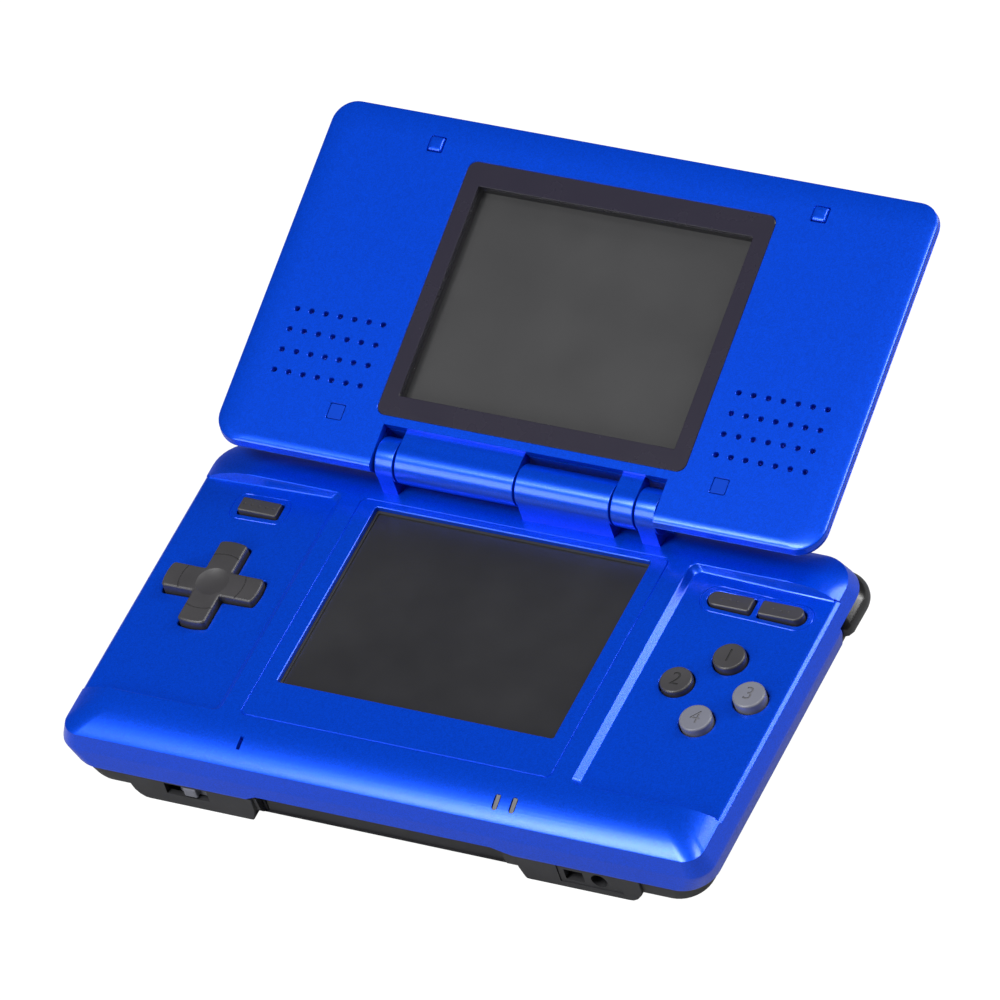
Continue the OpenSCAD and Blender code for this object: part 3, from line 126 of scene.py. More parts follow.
def loft(levels):
    """Closed solid through equal rings: each level is a ring of (x, y, z) points in mm, lowest first."""
    mesh = bpy.data.meshes.new("solid")
    with editing(mesh) as bm:
        rings = [[bm.verts.new((p[0] * MM, p[1] * MM, p[2] * MM)) for p in ring] for ring in levels]
        count = len(rings[0])
        for low, high in zip(rings, rings[1:]):
            for i in range(count):
                j = (i + 1) % count
                bm.faces.new((low[i], low[j], high[j], high[i]))
        bm.faces.new(list(reversed(rings[0])))
        bm.faces.new(rings[-1])
        bmesh.ops.recalc_face_normals(bm, faces=bm.faces)
    return show("solid", mesh)


def flat_ring(points, z):
    """Ring at a height, or at a height that is a function of x and y."""
    return [(x, y, z(x, y) if callable(z) else z) for x, y in points]


def plate(x0, x1, y0, y1, r, steps=10):
    """Function that gives the plate outline grown outwards by its argument."""
    radii = r if isinstance(r, (tuple, list)) else (r,) * 4
    return lambda o: plate_outline(x0 - o, x1 + o, y0 - o, y1 + o, [max(k + o, 0.05) for k in radii], steps)


def square(x, y, half, r):
    return plate(x - half, x + half, y - half, y + half, r)


def disc(x, y, r, steps):
    return lambda o: round_outline(x, y, r + o, steps)


def rounding(r, steps):
    """Quarter round from an upright wall to a flat: how far each point runs in and lies below."""
    turns = [radians(90 * k / steps) for k in range(steps + 1)]
    return [(r * (1 - cos(a)), r * (1 - sin(a))) for a in turns]


def stack(outline, levels):
    """Solid through an outline function's rings: each level is (growth, height), lowest first."""
    return loft([flat_ring(outline(o), z) for o, z in levels])


def lid_stack(outline, levels):
    """The same on the lid, with heights over its inner face."""
    return stack(outline, [(o, LID_IN + z) for o, z in levels])


def column(points, z0, z1):
    return loft([flat_ring(points, z0), flat_ring(points, z1)])


def turned(levels, steps=20):
    """Small round solid about the upright axis: each level is (radius, height), lowest first."""
    return loft([flat_ring(round_outline(0, 0, r, steps), z) for r, z in levels])


def box_solid(x0, x1, y0, y1, z0, z1):
    return column([(x0, y0), (x1, y0), (x1, y1), (x0, y1)], z0, z1)


def prism_x(profile, x0, x1):
    """Profile of (y, z) points, anticlockwise seen from +X, drawn along X."""
    return loft([[(x, y, z) for y, z in profile] for x in (x0, x1)])


def prism_y(profile, y0, y1):
    """Profile of (x, z) points drawn along Y."""
    return loft([[(x, y, z) for x, z in profile] for y in (y0, y1)])


def combine(target, tools, operation="DIFFERENCE", material_mode="INDEX"):
    """Exact boolean of the target with several solids, which are then removed."""
    for tool in tools:
        m = target.modifiers.new("cut", "BOOLEAN")
        m.operation, m.solver, m.object, m.material_mode = operation, "EXACT", tool, material_mode
    apply_modifiers(target)
    for tool in tools:
        bpy.data.objects.remove(tool)
    return target


def evaluated(obj):
    depsgraph = bpy.context.evaluated_depsgraph_get()
    return bpy.data.meshes.new_from_object(obj.evaluated_get(depsgraph), depsgraph=depsgraph)


def apply_modifiers(obj):
    mesh, old = evaluated(obj), obj.data
    obj.modifiers.clear()
    obj.data = mesh
    bpy.data.meshes.remove(old)
    return obj


def tidy(obj, distance=0.004):
    """Merges doubles, drops slivers and fills the tiny holes that they leave."""
    with editing(obj.data) as bm:
        bmesh.ops.remove_doubles(bm, verts=bm.verts, dist=distance * MM)
        bmesh.ops.dissolve_degenerate(bm, edges=bm.edges, dist=distance * MM)
        bmesh.ops.holes_fill(bm, edges=[e for e in bm.edges if e.is_boundary], sides=6)
    return obj


def facets(obj):
    """Splits all faces into triangles, so that each is truly flat before it is cut."""
    with editing(obj.data) as bm:
        bmesh.ops.triangulate(bm, faces=bm.faces)
    return obj


def moved(obj, x, y, z=0.0):
    obj.data.transform(Matrix.Translation((x * MM, y * MM, z * MM)))
    return obj


def join(objects):
    """One object from several, which are then removed, with all their materials."""
    mesh = bpy.data.meshes.new("joined")
    materials = []
    with editing(mesh) as bm:
        for o in objects:
            materials += [m for m in o.data.materials if m not in materials]
            start = len(bm.faces)
            bm.from_mesh(o.data)
            bm.faces.ensure_lookup_table()
            for f in bm.faces[start:]:
                own = o.data.materials
                f.material_index = materials.index(own[f.material_index]) if own else 0
    for m in materials:
        mesh.materials.append(m)
    for o in objects:
        bpy.data.objects.remove(o)
    return show("joined", mesh)


def grid_group():
    """Node group that sets one piece on every point of a grid and gives it a material."""
    name = "grid of pieces"
    if name in bpy.data.node_groups:
        return bpy.data.node_groups[name]
    group = bpy.data.node_groups.new(name, "GeometryNodeTree")
    for name, kind in (("Piece", "Object"), ("Columns", "Int"), ("Rows", "Int"),
                       ("Spacing X", "Float"), ("Spacing Y", "Float"), ("Material", "Material")):
        group.interface.new_socket(name, in_out="INPUT", socket_type="NodeSocket" + kind)
    group.interface.new_socket("Geometry", in_out="OUTPUT", socket_type="NodeSocketGeometry")
    nodes, links = group.nodes, group.links
    given, result, grid, piece, points, real, paint = [nodes.new(kind) for kind in (
        "NodeGroupInput", "NodeGroupOutput", "GeometryNodeMeshGrid", "GeometryNodeObjectInfo",
        "GeometryNodeInstanceOnPoints", "GeometryNodeRealizeInstances", "GeometryNodeSetMaterial")]
    for count, axis in (("Columns", "X"), ("Rows", "Y")):
        less, product = nodes.new("ShaderNodeMath"), nodes.new("ShaderNodeMath")
        less.operation, product.operation = "SUBTRACT", "MULTIPLY"
        less.inputs[1].default_value = 1
        links.new(given.outputs[count], less.inputs[0])
        links.new(given.outputs[count], grid.inputs["Vertices " + axis])
        links.new(less.outputs[0], product.inputs[0])
        links.new(given.outputs["Spacing " + axis], product.inputs[1])
        links.new(product.outputs[0], grid.inputs["Size " + axis])
    for source, output, node, entry in (
            (given, "Piece", piece, "Object"), (grid, "Mesh", points, "Points"),
            (piece, "Geometry", points, "Instance"), (points, "Instances", real, "Geometry"),
            (real, "Geometry", paint, "Geometry"), (given, "Material", paint, "Material"),
            (paint, "Geometry", result, "Geometry")):
        links.new(source.outputs[output], node.inputs[entry])
    return group


def repeated(name, piece, columns, rows, step_x, step_y, middle, material):
    """Copies of a piece on a grid about the given middle, as one plain mesh."""
    holder = show(name, bpy.data.meshes.new(name))
    m = holder.modifiers.new("grid", "NODES")
    m.node_group = grid_group()
    given = {"Piece": piece, "Columns": columns, "Rows": rows, "Spacing X": step_x * MM,
             "Spacing Y": step_y * MM, "Material": material}
    for item in m.node_group.interface.items_tree:
        if item.in_out == "INPUT":
            m[item.identifier] = given[item.name]
    bpy.context.view_layer.update()
    apply_modifiers(holder)
    return moved(holder, *middle)


def coat(mesh, *materials):
    mesh.materials.clear()
    for material in materials:
        mesh.materials.append(material)


def finish_piece(obj, name, body, nodes, material):
    """Names a piece, gives it its finish, ties it to its body and hides the solids it stands for."""
    obj.name = name
    obj.data.name = name
    if material is not None:
        coat(obj.data, material)
    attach(obj, body)
    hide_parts(*nodes)


# The base is drawn about its own middle, the lid closed about its hinge and then turned back open
BASE_PLACE = Matrix.Translation((0, BASE_Y * MM, 0))
LID_PLACE = Matrix.Translation((0, HINGE_Y * MM, HINGE_Z * MM)) @ Matrix.Rotation(-OPEN, 4, "X")


def settle(obj, place, angle=32.0):
    """Brings a solid to its place and shades it smooth, with flats kept flat by weighted normals."""
    mesh = obj.data
    mesh.transform(place)
    mesh.polygons.foreach_set("use_smooth", [True] * len(mesh.polygons))
    mesh.set_sharp_from_angle(angle=radians(angle))
    m = obj.modifiers.new("weighted", "WEIGHTED_NORMAL")
    m.keep_sharp = True
    m.weight = 60
    return apply_modifiers(obj)


# Finishes

def nodes_of(name):
    material = bpy.data.materials.new(name)
    material.use_nodes = True
    tree = material.node_tree
    return material, tree, tree.nodes["Principled BSDF"]


def add(tree, kind, **values):
    node = tree.nodes.new(kind)
    for key, value in values.items():
        setattr(node, key, value)
    return node


def put(node, **inputs):
    for key, value in inputs.items():
        node.inputs[key.replace("_", " ")].default_value = value
    return node


def feed(tree, node, **outputs):
    for key, output in outputs.items():
        tree.links.new(output, node.inputs[key.replace("_", " ")])
    return node


def coordinates(tree):
    return add(tree, "ShaderNodeTexCoord").outputs["Object"]


def noise(tree, scale, detail=2.0, rough=0.5):
    node = put(add(tree, "ShaderNodeTexNoise"), Scale=scale, Detail=detail, Roughness=rough)
    return feed(tree, node, Vector=coordinates(tree)).outputs["Fac"]


def spread(tree, fac, low, high, start=0.3, end=0.7):
    node = put(add(tree, "ShaderNodeMapRange"), From_Min=start, From_Max=end, To_Min=low, To_Max=high)
    return feed(tree, node, Value=fac).outputs["Result"]


def tint(tree, fac, dark, light):
    node = add(tree, "ShaderNodeMix", data_type="RGBA")
    node.inputs[6].default_value = (*dark, 1)
    node.inputs[7].default_value = (*light, 1)
    tree.links.new(fac, node.inputs[0])
    return node.outputs[2]


def bumps(tree, shader, layers):
    """Chains bump nodes: each layer is (height, strength, distance in mm)."""
    normal = None
    for height, strength, distance in layers:
        node = put(add(tree, "ShaderNodeBump"), Strength=strength, Distance=distance * MM)
        feed(tree, node, Height=height)
        if normal is not None:
            feed(tree, node, Normal=normal)
        normal = node.outputs["Normal"]
    feed(tree, shader, Normal=normal)


def flake_paint(name, color, density):
    """Satin paint with fine metal flakes under it and a faint orange peel."""
    material, tree, shader = nodes_of(name)
    flakes = put(add(tree, "ShaderNodeTexVoronoi", feature="F1"), Scale=density)
    feed(tree, flakes, Vector=coordinates(tree))
    sparkle = feed(tree, add(tree, "ShaderNodeSeparateColor"), Color=flakes.outputs["Color"])
    dark = tuple(c * 0.86 for c in color)
    light = tuple(min(1, c * 1.14) for c in color)
    put(shader, Metallic=0.55, Coat_Weight=0.5, Coat_Roughness=0.2, Specular_IOR_Level=0.05)
    feed(tree, shader, Base_Color=tint(tree, sparkle.outputs[0], dark, light),
         Roughness=spread(tree, sparkle.outputs[1], 0.28, 0.38, 0.0, 1.0))
    bumps(tree, shader, [(sparkle.outputs[2], 0.08, 0.02), (noise(tree, 900.0), 0.06, 0.03)])
    return material


def moulded(name, dark, light, roughness, grain=0.12, specular=0.5, wear=0.06):
    """Moulded plastic with a fine spark-eroded grain and slight wear in its shine."""
    material, tree, shader = nodes_of(name)
    put(shader, Specular_IOR_Level=specular)
    feed(tree, shader, Base_Color=tint(tree, spread(tree, noise(tree, 60.0, 3.0), 0, 1), dark, light),
         Roughness=spread(tree, noise(tree, 140.0, 4.0), roughness - wear, roughness + wear))
    bumps(tree, shader, [(noise(tree, 1500.0, 3.0, 0.6), grain, 0.05)])
    return material


def screen_glass(name, dark, light, roughness):
    """Unlit display behind a matt polarizer: grey with very faint mottling."""
    material, tree, shader = nodes_of(name)
    feed(tree, shader, Base_Color=tint(tree, spread(tree, noise(tree, 45.0, 3.0), 0, 1), dark, light),
         Roughness=spread(tree, noise(tree, 90.0, 3.0), roughness - 0.02, roughness + 0.03))
    bumps(tree, shader, [(noise(tree, 4000.0, 1.0), 0.03, 0.01)])
    return material


def clear_pane(name):
    """Clear lens plastic with a faint uneven shine."""
    material, tree, shader = nodes_of(name)
    put(shader, Alpha=0.12)
    feed(tree, shader, Base_Color=tint(tree, noise(tree, 40.0), (0.02, 0.02, 0.022), (0.03, 0.03, 0.033)),
         Roughness=spread(tree, noise(tree, 70.0, 3.0), 0.08, 0.14))
    bumps(tree, shader, [(noise(tree, 300.0), 0.01, 0.02)])
    return material


def brushed_metal(name, color, roughness):
    """Bare metal with fine lines along X."""
    material, tree, shader = nodes_of(name)
    stretch = put(add(tree, "ShaderNodeMapping"), Scale=(60.0, 2500.0, 2500.0))
    feed(tree, stretch, Vector=coordinates(tree))
    grain = put(add(tree, "ShaderNodeTexNoise"), Scale=1.0, Detail=3.0)
    lines = feed(tree, grain, Vector=stretch.outputs[0]).outputs["Fac"]
    put(shader, Metallic=1.0)
    feed(tree, shader, Base_Color=tint(tree, lines, tuple(c * 0.85 for c in color), color),
         Roughness=spread(tree, lines, roughness - 0.06, roughness + 0.08))
    bumps(tree, shader, [(lines, 0.1, 0.02)])
    return material


def board_laminate(name):
    """Green solder mask with faint tracks."""
    material, tree, shader = nodes_of(name)
    brick = put(add(tree, "ShaderNodeTexBrick"), Scale=420.0)
    tracks = feed(tree, brick, Vector=coordinates(tree)).outputs["Fac"]
    feed(tree, shader, Base_Color=tint(tree, tracks, (0.012, 0.09, 0.035), (0.03, 0.16, 0.06)),
         Roughness=spread(tree, noise(tree, 300.0), 0.35, 0.5))
    bumps(tree, shader, [(tracks, 0.2, 0.03)])
    return material


FINISH = {}


def finishes(context):
    """Makes the finishes once; the operators share them."""
    if FINISH:
        return FINISH
    look = context.scene.console_look
    FINISH.update(
        blue=flake_paint("satin_blue_flake", tuple(look.shell_color), look.flake_scale),
        casing=moulded("charcoal_casing",
                       (0.017, 0.017, 0.019), (0.025, 0.025, 0.028), 0.5, 0.16, specular=0.4),
        dark_key=moulded("dark_key", (0.03, 0.029, 0.031), (0.042, 0.04, 0.043), 0.42, 0.1),
        light_key=moulded("light_key", (0.12, 0.124, 0.155), (0.15, 0.155, 0.185), 0.4, 0.08),
        legend=moulded("legend_ink", (0.012, 0.012, 0.013), (0.018, 0.018, 0.019), 0.6, 0.05),
        legend_pale=moulded("legend_ink_pale", (0.1, 0.1, 0.115), (0.12, 0.12, 0.135), 0.6, 0.05),
        gloss_black=moulded("gloss_black", (0.006, 0.006, 0.007), (0.01, 0.01, 0.011), 0.24, 0.03),
        bezel=moulded("lens_bezel",
                      (0.0155, 0.0135, 0.0245), (0.0165, 0.0145, 0.0255), 0.27, 0.015, wear=0.008),
        well=moulded("dark_well", (0.006, 0.006, 0.007), (0.01, 0.01, 0.012), 0.7, 0.1),
        upper_display=screen_glass("upper_display", (0.043, 0.043, 0.044), (0.051, 0.051, 0.052), 0.4),
        touch=screen_glass("touch_film", (0.016, 0.016, 0.018), (0.021, 0.021, 0.023), 0.3),
        pane=clear_pane("lens_pane"),
        cap=moulded("blue_cap", (0.0, 0.034, 0.36), (0.0, 0.042, 0.43), 0.55, 0.1, specular=0.08),
        rubber=moulded("rubber", (0.012, 0.012, 0.013), (0.02, 0.02, 0.021), 0.75, 0.2),
        steel=brushed_metal("brushed_steel", (0.56, 0.57, 0.6), 0.32),
        board=board_laminate("board_laminate"),
        wrap=moulded("battery_wrap", (0.16, 0.165, 0.18), (0.2, 0.205, 0.22), 0.38, 0.06),
        ribbon=moulded("ribbon_film", (0.42, 0.16, 0.03), (0.52, 0.22, 0.05), 0.3, 0.05),
        light=moulded("light_pipe", (0.07, 0.07, 0.08), (0.1, 0.1, 0.11), 0.3, 0.05),
    )
    return FINISH


# Heights on the base: flat top, edge of the sunk panels, lower edge of the wall, its widest level
TOP_Z, CREASE_Z, FOOT_Z, SWELL_Z = 18.0, 15.35, 6.7, 11.3
# How far the side wall leans in from its widest level up to the crease
WALL_LEAN = 1.6
# Outline of the base at its foot and at the crease
WALL_X, WALL_FRONT, WALL_REAR = 72.6, -42.3, 39.3
CREASE_X, CREASE_FRONT, CREASE_REAR = 72.1, -41.3, 38.3
# Soft roll from the crease up to the flat, an arc that ends level
ROLL_RUN, ROLL_DROP = 9.5, 2.65
ROLL_R = (ROLL_RUN ** 2 + ROLL_DROP ** 2) / (2 * ROLL_DROP)
ROLL_A = asin(ROLL_RUN / ROLL_R)
# Sunk side panels: where they begin, their leaning inner wall and their depth there
PANEL_X, PANEL_RUN, PANEL_DROP = 39.6, 1.15, 1.2
PANEL_FRONT, PANEL_REAR = -30.2, 28.2
PANEL_SLOPE = (ROLL_DROP - PANEL_DROP) / (CREASE_X - PANEL_X - PANEL_RUN)


def panel_z(x, y=0.0):
    """Height of a side panel's floor, as a function of the place like all heights here."""
    return TOP_Z - PANEL_DROP - (abs(x) - PANEL_X - PANEL_RUN) * PANEL_SLOPE


def flat_top(x, y):
    return TOP_Z


def above(height, rise):
    return lambda x, y: height(x, y) + rise


def crease_cutter(side):
    """Tool that rounds the edge between a side panel's floor and the wall."""
    low = atan(WALL_LEAN / (CREASE_Z - SWELL_Z))
    high = pi / 2 - atan(PANEL_SLOPE)
    r, sink, outside, over = 1.4, 0.012, 76.0, 21.0
    reach = r * tan((high - low) / 2)
    cx = CREASE_X - reach * sin(high) - (r + sink) * cos(high)
    cz = CREASE_Z + reach * cos(high) - (r + sink) * sin(high)
    turns = [high + (low - high) * k / 10 for k in range(11)]
    arc = [(cx + r * cos(a), cz + r * sin(a)) for a in turns]
    profile = [(arc[0][0], over)] + arc + [(outside, arc[-1][1] - 0.6), (outside, over)]
    if side > 0:
        profile.reverse()
    return prism_y([(side * x, z) for x, z in profile], PANEL_FRONT + 0.17, PANEL_REAR - 0.31)


def shell_levels():
    """Rings of the base's top form from its lower edge over the crease and the soft roll."""
    rings = []

    def ring(half_x, front, rear, r, rear_r, z):
        rings.append(flat_ring(plate_outline(-half_x, half_x, front, rear, (r, r, rear_r, rear_r)), z))

    ring(72.35, -42.05, 39.05, 6.75, 6.75, FOOT_Z)
    ring(72.54, -42.24, 39.24, 6.94, 6.94, FOOT_Z + 0.1)
    for z in (7.2, 8.6, 9.8, 10.5, 11.0, SWELL_Z, 11.7, 12.2, 12.9, 14.0, CREASE_Z - 0.02):
        # the wall swells up to its widest level and leans in above it
        low = min(1.0, (z - FOOT_Z) / (SWELL_Z - FOOT_Z))
        high = max(0.0, (z - SWELL_Z) / (CREASE_Z - SWELL_Z))
        blend = 0.13 * max(0.0, 1 - abs(z - SWELL_Z) / 1.4) ** 2
        ring(WALL_X + 1.1 * low - WALL_LEAN * high - blend, WALL_FRONT + 0.25 * low + 0.75 * high,
             WALL_REAR - high, 7.0 - 2.2 * low - 0.8 * high, 7.0 + 0.5 * low, z)
    for k in range(15):
        t = k / 14
        run = max(ROLL_RUN - ROLL_R * sin(ROLL_A * (1 - t)), 0.14)
        z = TOP_Z - ROLL_R + sqrt(ROLL_R ** 2 - (ROLL_RUN - run) ** 2)
        ring(CREASE_X - run, CREASE_FRONT + run, CREASE_REAR - run, 4.0 - 0.7 * t, 7.5 - 0.7 * t, z)
    return rings


def cavity_levels():
    """Rings of the hollow under the top shell, kept below the sunk panels."""
    levels = ((71.0, -40.7, 37.7, 7.0, 3.0), (71.0, -40.7, 37.7, 7.0, 9.0), (69.5, -39.2, 36.2, 6.0, 11.6),
              (66.0, -36.0, 33.0, 5.0, 12.9), (60.0, -32.0, 29.0, 4.0, 13.8))
    return [flat_ring(plate_outline(-x, x, front, rear, r), z) for x, front, rear, r, z in levels]


def panel_cutter(side):
    """Tool for one sunk side panel: filleted floor, leaning inner wall and a rounded upper edge."""
    def ring(o, z):
        past = max(o - PANEL_RUN, 0.0)
        front = PANEL_FRONT + 0.5 - min(o, 0.5 + past)
        rear = PANEL_REAR - 0.75 + min(o, 0.75 + past)
        points = plate_outline(PANEL_X + PANEL_RUN - o, 84.0, front, rear, (1.7, 0.3, 0.3, 1.7), 12)
        points = [(side * x, y, height) for x, y, height in flat_ring(points, z)]
        return points if side > 0 else points[::-1]

    return loft([
        ring(-0.45, panel_z),
        ring(-0.2, above(panel_z, 0.05)),
        ring(0.02, above(panel_z, 0.17)),
        ring(0.95, lambda x, y: max(TOP_Z - 0.2, panel_z(x) + 0.3)),
        ring(1.08, TOP_Z - 0.09),
        ring(1.25, TOP_Z - 0.02),
        ring(1.55, TOP_Z + 0.01),
        ring(1.6, TOP_Z + 3.0),
    ])


def well_cutter(outline, height, lip, depth=6.0):
    """Well with a softened rim: outline(o) is the outline grown by o, height(x, y) the face it opens in."""
    rim = [(run, above(height, -drop)) for run, drop in rounding(lip, 4)]
    return stack(outline, [(0.0, above(height, -depth))] + rim + [(lip + 0.02, above(height, 2.5))])


def groove_cutter(x0, x1, y0, y1, r, width, taper, depth, height):
    """Tool for a shallow outline groove that narrows downwards from the given face."""
    outer = stack(plate(x0, x1, y0, y1, r), [
        (-0.02, above(height, -depth)), (taper, above(height, 0.02)), (taper, above(height, 1))])
    core = stack(plate(x0 + width, x1 - width, y0 + width, y1 - width, r - width), [
        (0.02, above(height, -1)), (0.02, above(height, -depth)),
        (-taper, above(height, 0.02)), (-taper, above(height, 2))])
    return combine(outer, [core])


def rear_cuts():
    """Tools for the openings in the rear wall: card slot, power inlet and the stylus's tunnel."""
    tunnel = barrel(-5.0, 5.0, 2.9, 32, 0.01)
    tunnel.data.transform(Matrix.Rotation(pi / 2, 4, "Z"))
    return [box_solid(-17.4, 17.4, 34, 44, 3.6, 9.2), box_solid(-55.8, -48.2, 34, 44, 3.6, 9.2),
            moved(tunnel, -34.5, 39, 5.6)]


# Keys: places, sizes and the gap of their wells
KEY_BOTTOM = 13.0
PAD_X, PAD_Y, PAD_ARM, PAD_HALF, PAD_TOP = -56.5, 0.45, 10.8, 3.1, 17.9
KEYS_X, KEYS_Y, KEYS_R, KEY_R = 57.2, -0.15, 8.1, 3.38
GAP = 0.4
SELECT_X, START_X, POWER_X, BAR_Y = 51.1, 62.6, -56.2, 21.6
# Bar keys: name, middle, side whose end is round (0 for neither), length and width
BARS = (("select", SELECT_X, -1, 9.6, 3.6), ("start", START_X, 1, 9.6, 3.6), ("power", POWER_X, 0, 9.0, 3.5))
# Lid in its own frame, drawn closed about the hinge: inner face, seam, half width and length
LID_IN, LID_SEAM, LID_X, LID_REACH = -4.8, -2.9, 69.1, 73.7
LID_LEAN = radians(26)
NOTCH_X, NOTCH_Y = 32.3, -5.4
BUMPER, SCREW_CAP = (43.85, -67.1), (43.65, -6.05)
# Hinge knuckles of the base and of the lid along X, and their radius
BASE_KNUCKLES = ((-32.0, -27.75), (0.0, 21.5), (27.2, 31.9))
LID_KNUCKLES = ((-27.45, -0.3), (21.8, 26.9))
KNUCKLE_R = 4.5


def cross(gap=0.0, inner=0.45):
    """Outline function of the cross pad, or of its well when a gap is given."""
    return lambda o: cross_outline(PAD_X, PAD_Y, PAD_ARM + gap + o, PAD_HALF + gap + o, inner)


def bar(x, side, length, width, gap, small, full, steps=8):
    """Outline function of a bar key, or of its well when a gap is given."""
    radii = {-1: (full, small, small, full), 0: (small,) * 4, 1: (small, full, full, small)}[side]
    half_x, half_y = length / 2 + gap, width / 2 + gap
    return plate(x - half_x, x + half_x, BAR_Y - half_y, BAR_Y + half_y, radii, steps)


def key_places():
    """Middles of the four round keys, counter-clockwise from the right."""
    names = ("right", "top", "left", "bottom")
    turns = [radians(90 * k) for k in range(4)]
    return {name: (KEYS_X + KEYS_R * cos(a), KEYS_Y + KEYS_R * sin(a))
            for name, a in zip(names, turns)}


def barrel(x0, x1, r, steps=48, soft=0.3):
    """Hinge barrel with softened ends about the hinge axis, in the lid's frame."""
    ends = ((x0, r - soft), (x0 + soft * 0.3, r - soft * 0.3), (x0 + soft, r),
            (x1 - soft, r), (x1 - soft * 0.3, r - soft * 0.3), (x1, r - soft))
    return loft([[(x, y, z) for y, z in round_outline(0, 0, r, steps)] for x, r in ends])


def lid_ring(inset, z, rear=None, more=0.0):
    """Ring of the lid's outline; rear is how far its hinge end stands in when that differs."""
    far, near = 5.2 - inset + more, 6.0 - inset + more
    end = 4.5 - (inset if rear is None else rear)
    points = plate_outline(-LID_X + inset, LID_X - inset, -LID_REACH + inset, end, (far, far, near, near))
    return flat_ring(points, z)


def lid_back_rings(inset, steps):
    """Rings of the lid's outer half: its edge leans in from the seam and runs softly into the flat."""
    rings = []
    for k in range(steps + 1):
        a = LID_LEAN + (pi / 2 - LID_LEAN) * k / steps
        run = (cos(LID_LEAN) - cos(a)) / cos(LID_LEAN)
        rise = (sin(a) - sin(LID_LEAN)) / (1 - sin(LID_LEAN))
        z = LID_SEAM + 0.2 * (inset == 0) * (k == 0) + (8.55 - inset) * rise
        rings.append(lid_ring(inset + 13.0 * run, z, inset + 8.0 * run, 13.0 * run + 2.0 * rise))
    return rings


class ConsoleLook(bpy.types.PropertyGroup):
    shell_color: FloatVectorProperty(
        name="Shell colour", description="Colour of the painted shells",
        subtype="COLOR", default=(0.0, 0.058, 0.65), min=0, max=1)
    flake_scale: FloatProperty(
        name="Flake density", description="Flakes across one metre", default=5200.0, min=500.0)
    hole_radius: FloatProperty(
        name="Speaker hole radius", description="Radius of one speaker hole", unit="LENGTH", default=0.0006)


class ConsoleStage(bpy.types.PropertyGroup):
    floor_color: FloatVectorProperty(
        name="Floor colour", description="Colour of the floor and backdrop",
        subtype="COLOR", default=(0.4, 0.4, 0.4), min=0, max=1)
    key_light: FloatProperty(
        name="Key light", description="Power of the soft light at the front left", unit="POWER", default=8.2)
    rear_light: FloatProperty(
        name="Rear light", description="Power of the soft light behind", unit="POWER", default=9.5)
    fill_light: FloatProperty(
        name="Fill light", description="Power of the weak light in front", unit="POWER", default=8.5)


class CONSOLE_OT_base_top(bpy.types.Operator):
    """Top shell of the base with its sunk panels, wells and knuckles"""
    bl_idname = "console.base_top"
    bl_label = "Base top shell"

    def execute(self, context):
        fin = finishes(context)
        shell = facets(loft(shell_levels()))
        cavity = facets(loft(cavity_levels()))
        web = [(30.5, 14.6), (37.4, 14.6), (37.4, 17.5), (36.6, 20.6),
               (HINGE_DEPTH, HINGE_RISE), (30.5, HINGE_RISE)]
        knuckles = []
        for x0, x1 in BASE_KNUCKLES:
            knuckle = moved(barrel(x0, x1, KNUCKLE_R), 0, HINGE_DEPTH, HINGE_RISE)
            knuckles.append(combine(knuckle, [prism_x(web, x0 + 0.35, x1 - 0.35)], "UNION"))
        combine(shell, [cavity])
        combine(shell, [crease_cutter(side) for side in (1, -1)])
        # side panels, then the wells of the touch panel and of the keys
        cuts = [panel_cutter(1), panel_cutter(-1)]
        cuts.append(well_cutter(plate(-31.3, 31.3, -20.45, 26.55, 0.5, 6), flat_top, 0.3, 9.0))
        cuts.append(well_cutter(cross(GAP, 0.4), panel_z, 0.3))
        for x, y in key_places().values():
            cuts.append(well_cutter(disc(x, y, KEY_R + GAP * 0.75, 48), panel_z, 0.3))
        for name, x, side, length, width in BARS:
            outline = bar(x, side, length, width, 0.3, 0.5, 2.1, 8 if side else 6)
            cuts.append(well_cutter(outline, panel_z, 0.25))
        # light windows and the microphone slot
        for x in (26.4, 30.2):
            cuts.append(column(plate_outline(x - 0.68, x + 0.68, -39.15, -35.85, 0.66, 8), 12.5, 20))
        cuts.append(box_solid(-32.4, -31.6, -37.9, -35.1, 12, 20))
        # rear openings, shoulder rooms and the arch over the cartridge slot
        cuts += rear_cuts()
        for side in (1, -1):
            for x, y, top in ((57.65, 32.4, 11.95), (68.4, 23.8, 11.96)):
                a, b = sorted((side * x, side * 80))
                cuts.append(box_solid(a, b, y, 46, 5.0, top))
        arch = [(-31.3, 5.0), (-31.3, 6.7), (-28.5, 8.1), (24.9, 8.1), (30.0, 6.7), (30.0, 5.0)]
        cuts.append(prism_y(arch, -46, -39.4))
        combine(shell, cuts)
        # shallow outline grooves round the screen field and the bar keys
        y0, y1 = BAR_Y - 3.4, BAR_Y + 3.4
        for groove in ((-35.2, 35.2, -30.15, 28.15, 1.5, 0.3, 0.12, 0.2, flat_top),
                       (SELECT_X - 6.6, START_X + 6.6, y0, y1, 3.4, 0.26, 0.1, 0.13, panel_z),
                       (POWER_X - 6.6, POWER_X + 6.6, y0, y1, 2.2, 0.26, 0.1, 0.13, panel_z)):
            combine(shell, [groove_cutter(*groove)])
        combine(shell, knuckles, "UNION")
        settle(tidy(shell), BASE_PLACE)
        finish_piece(shell, "base_top", "base", ["base_top_shell"], fin["blue"])
        return {"FINISHED"}


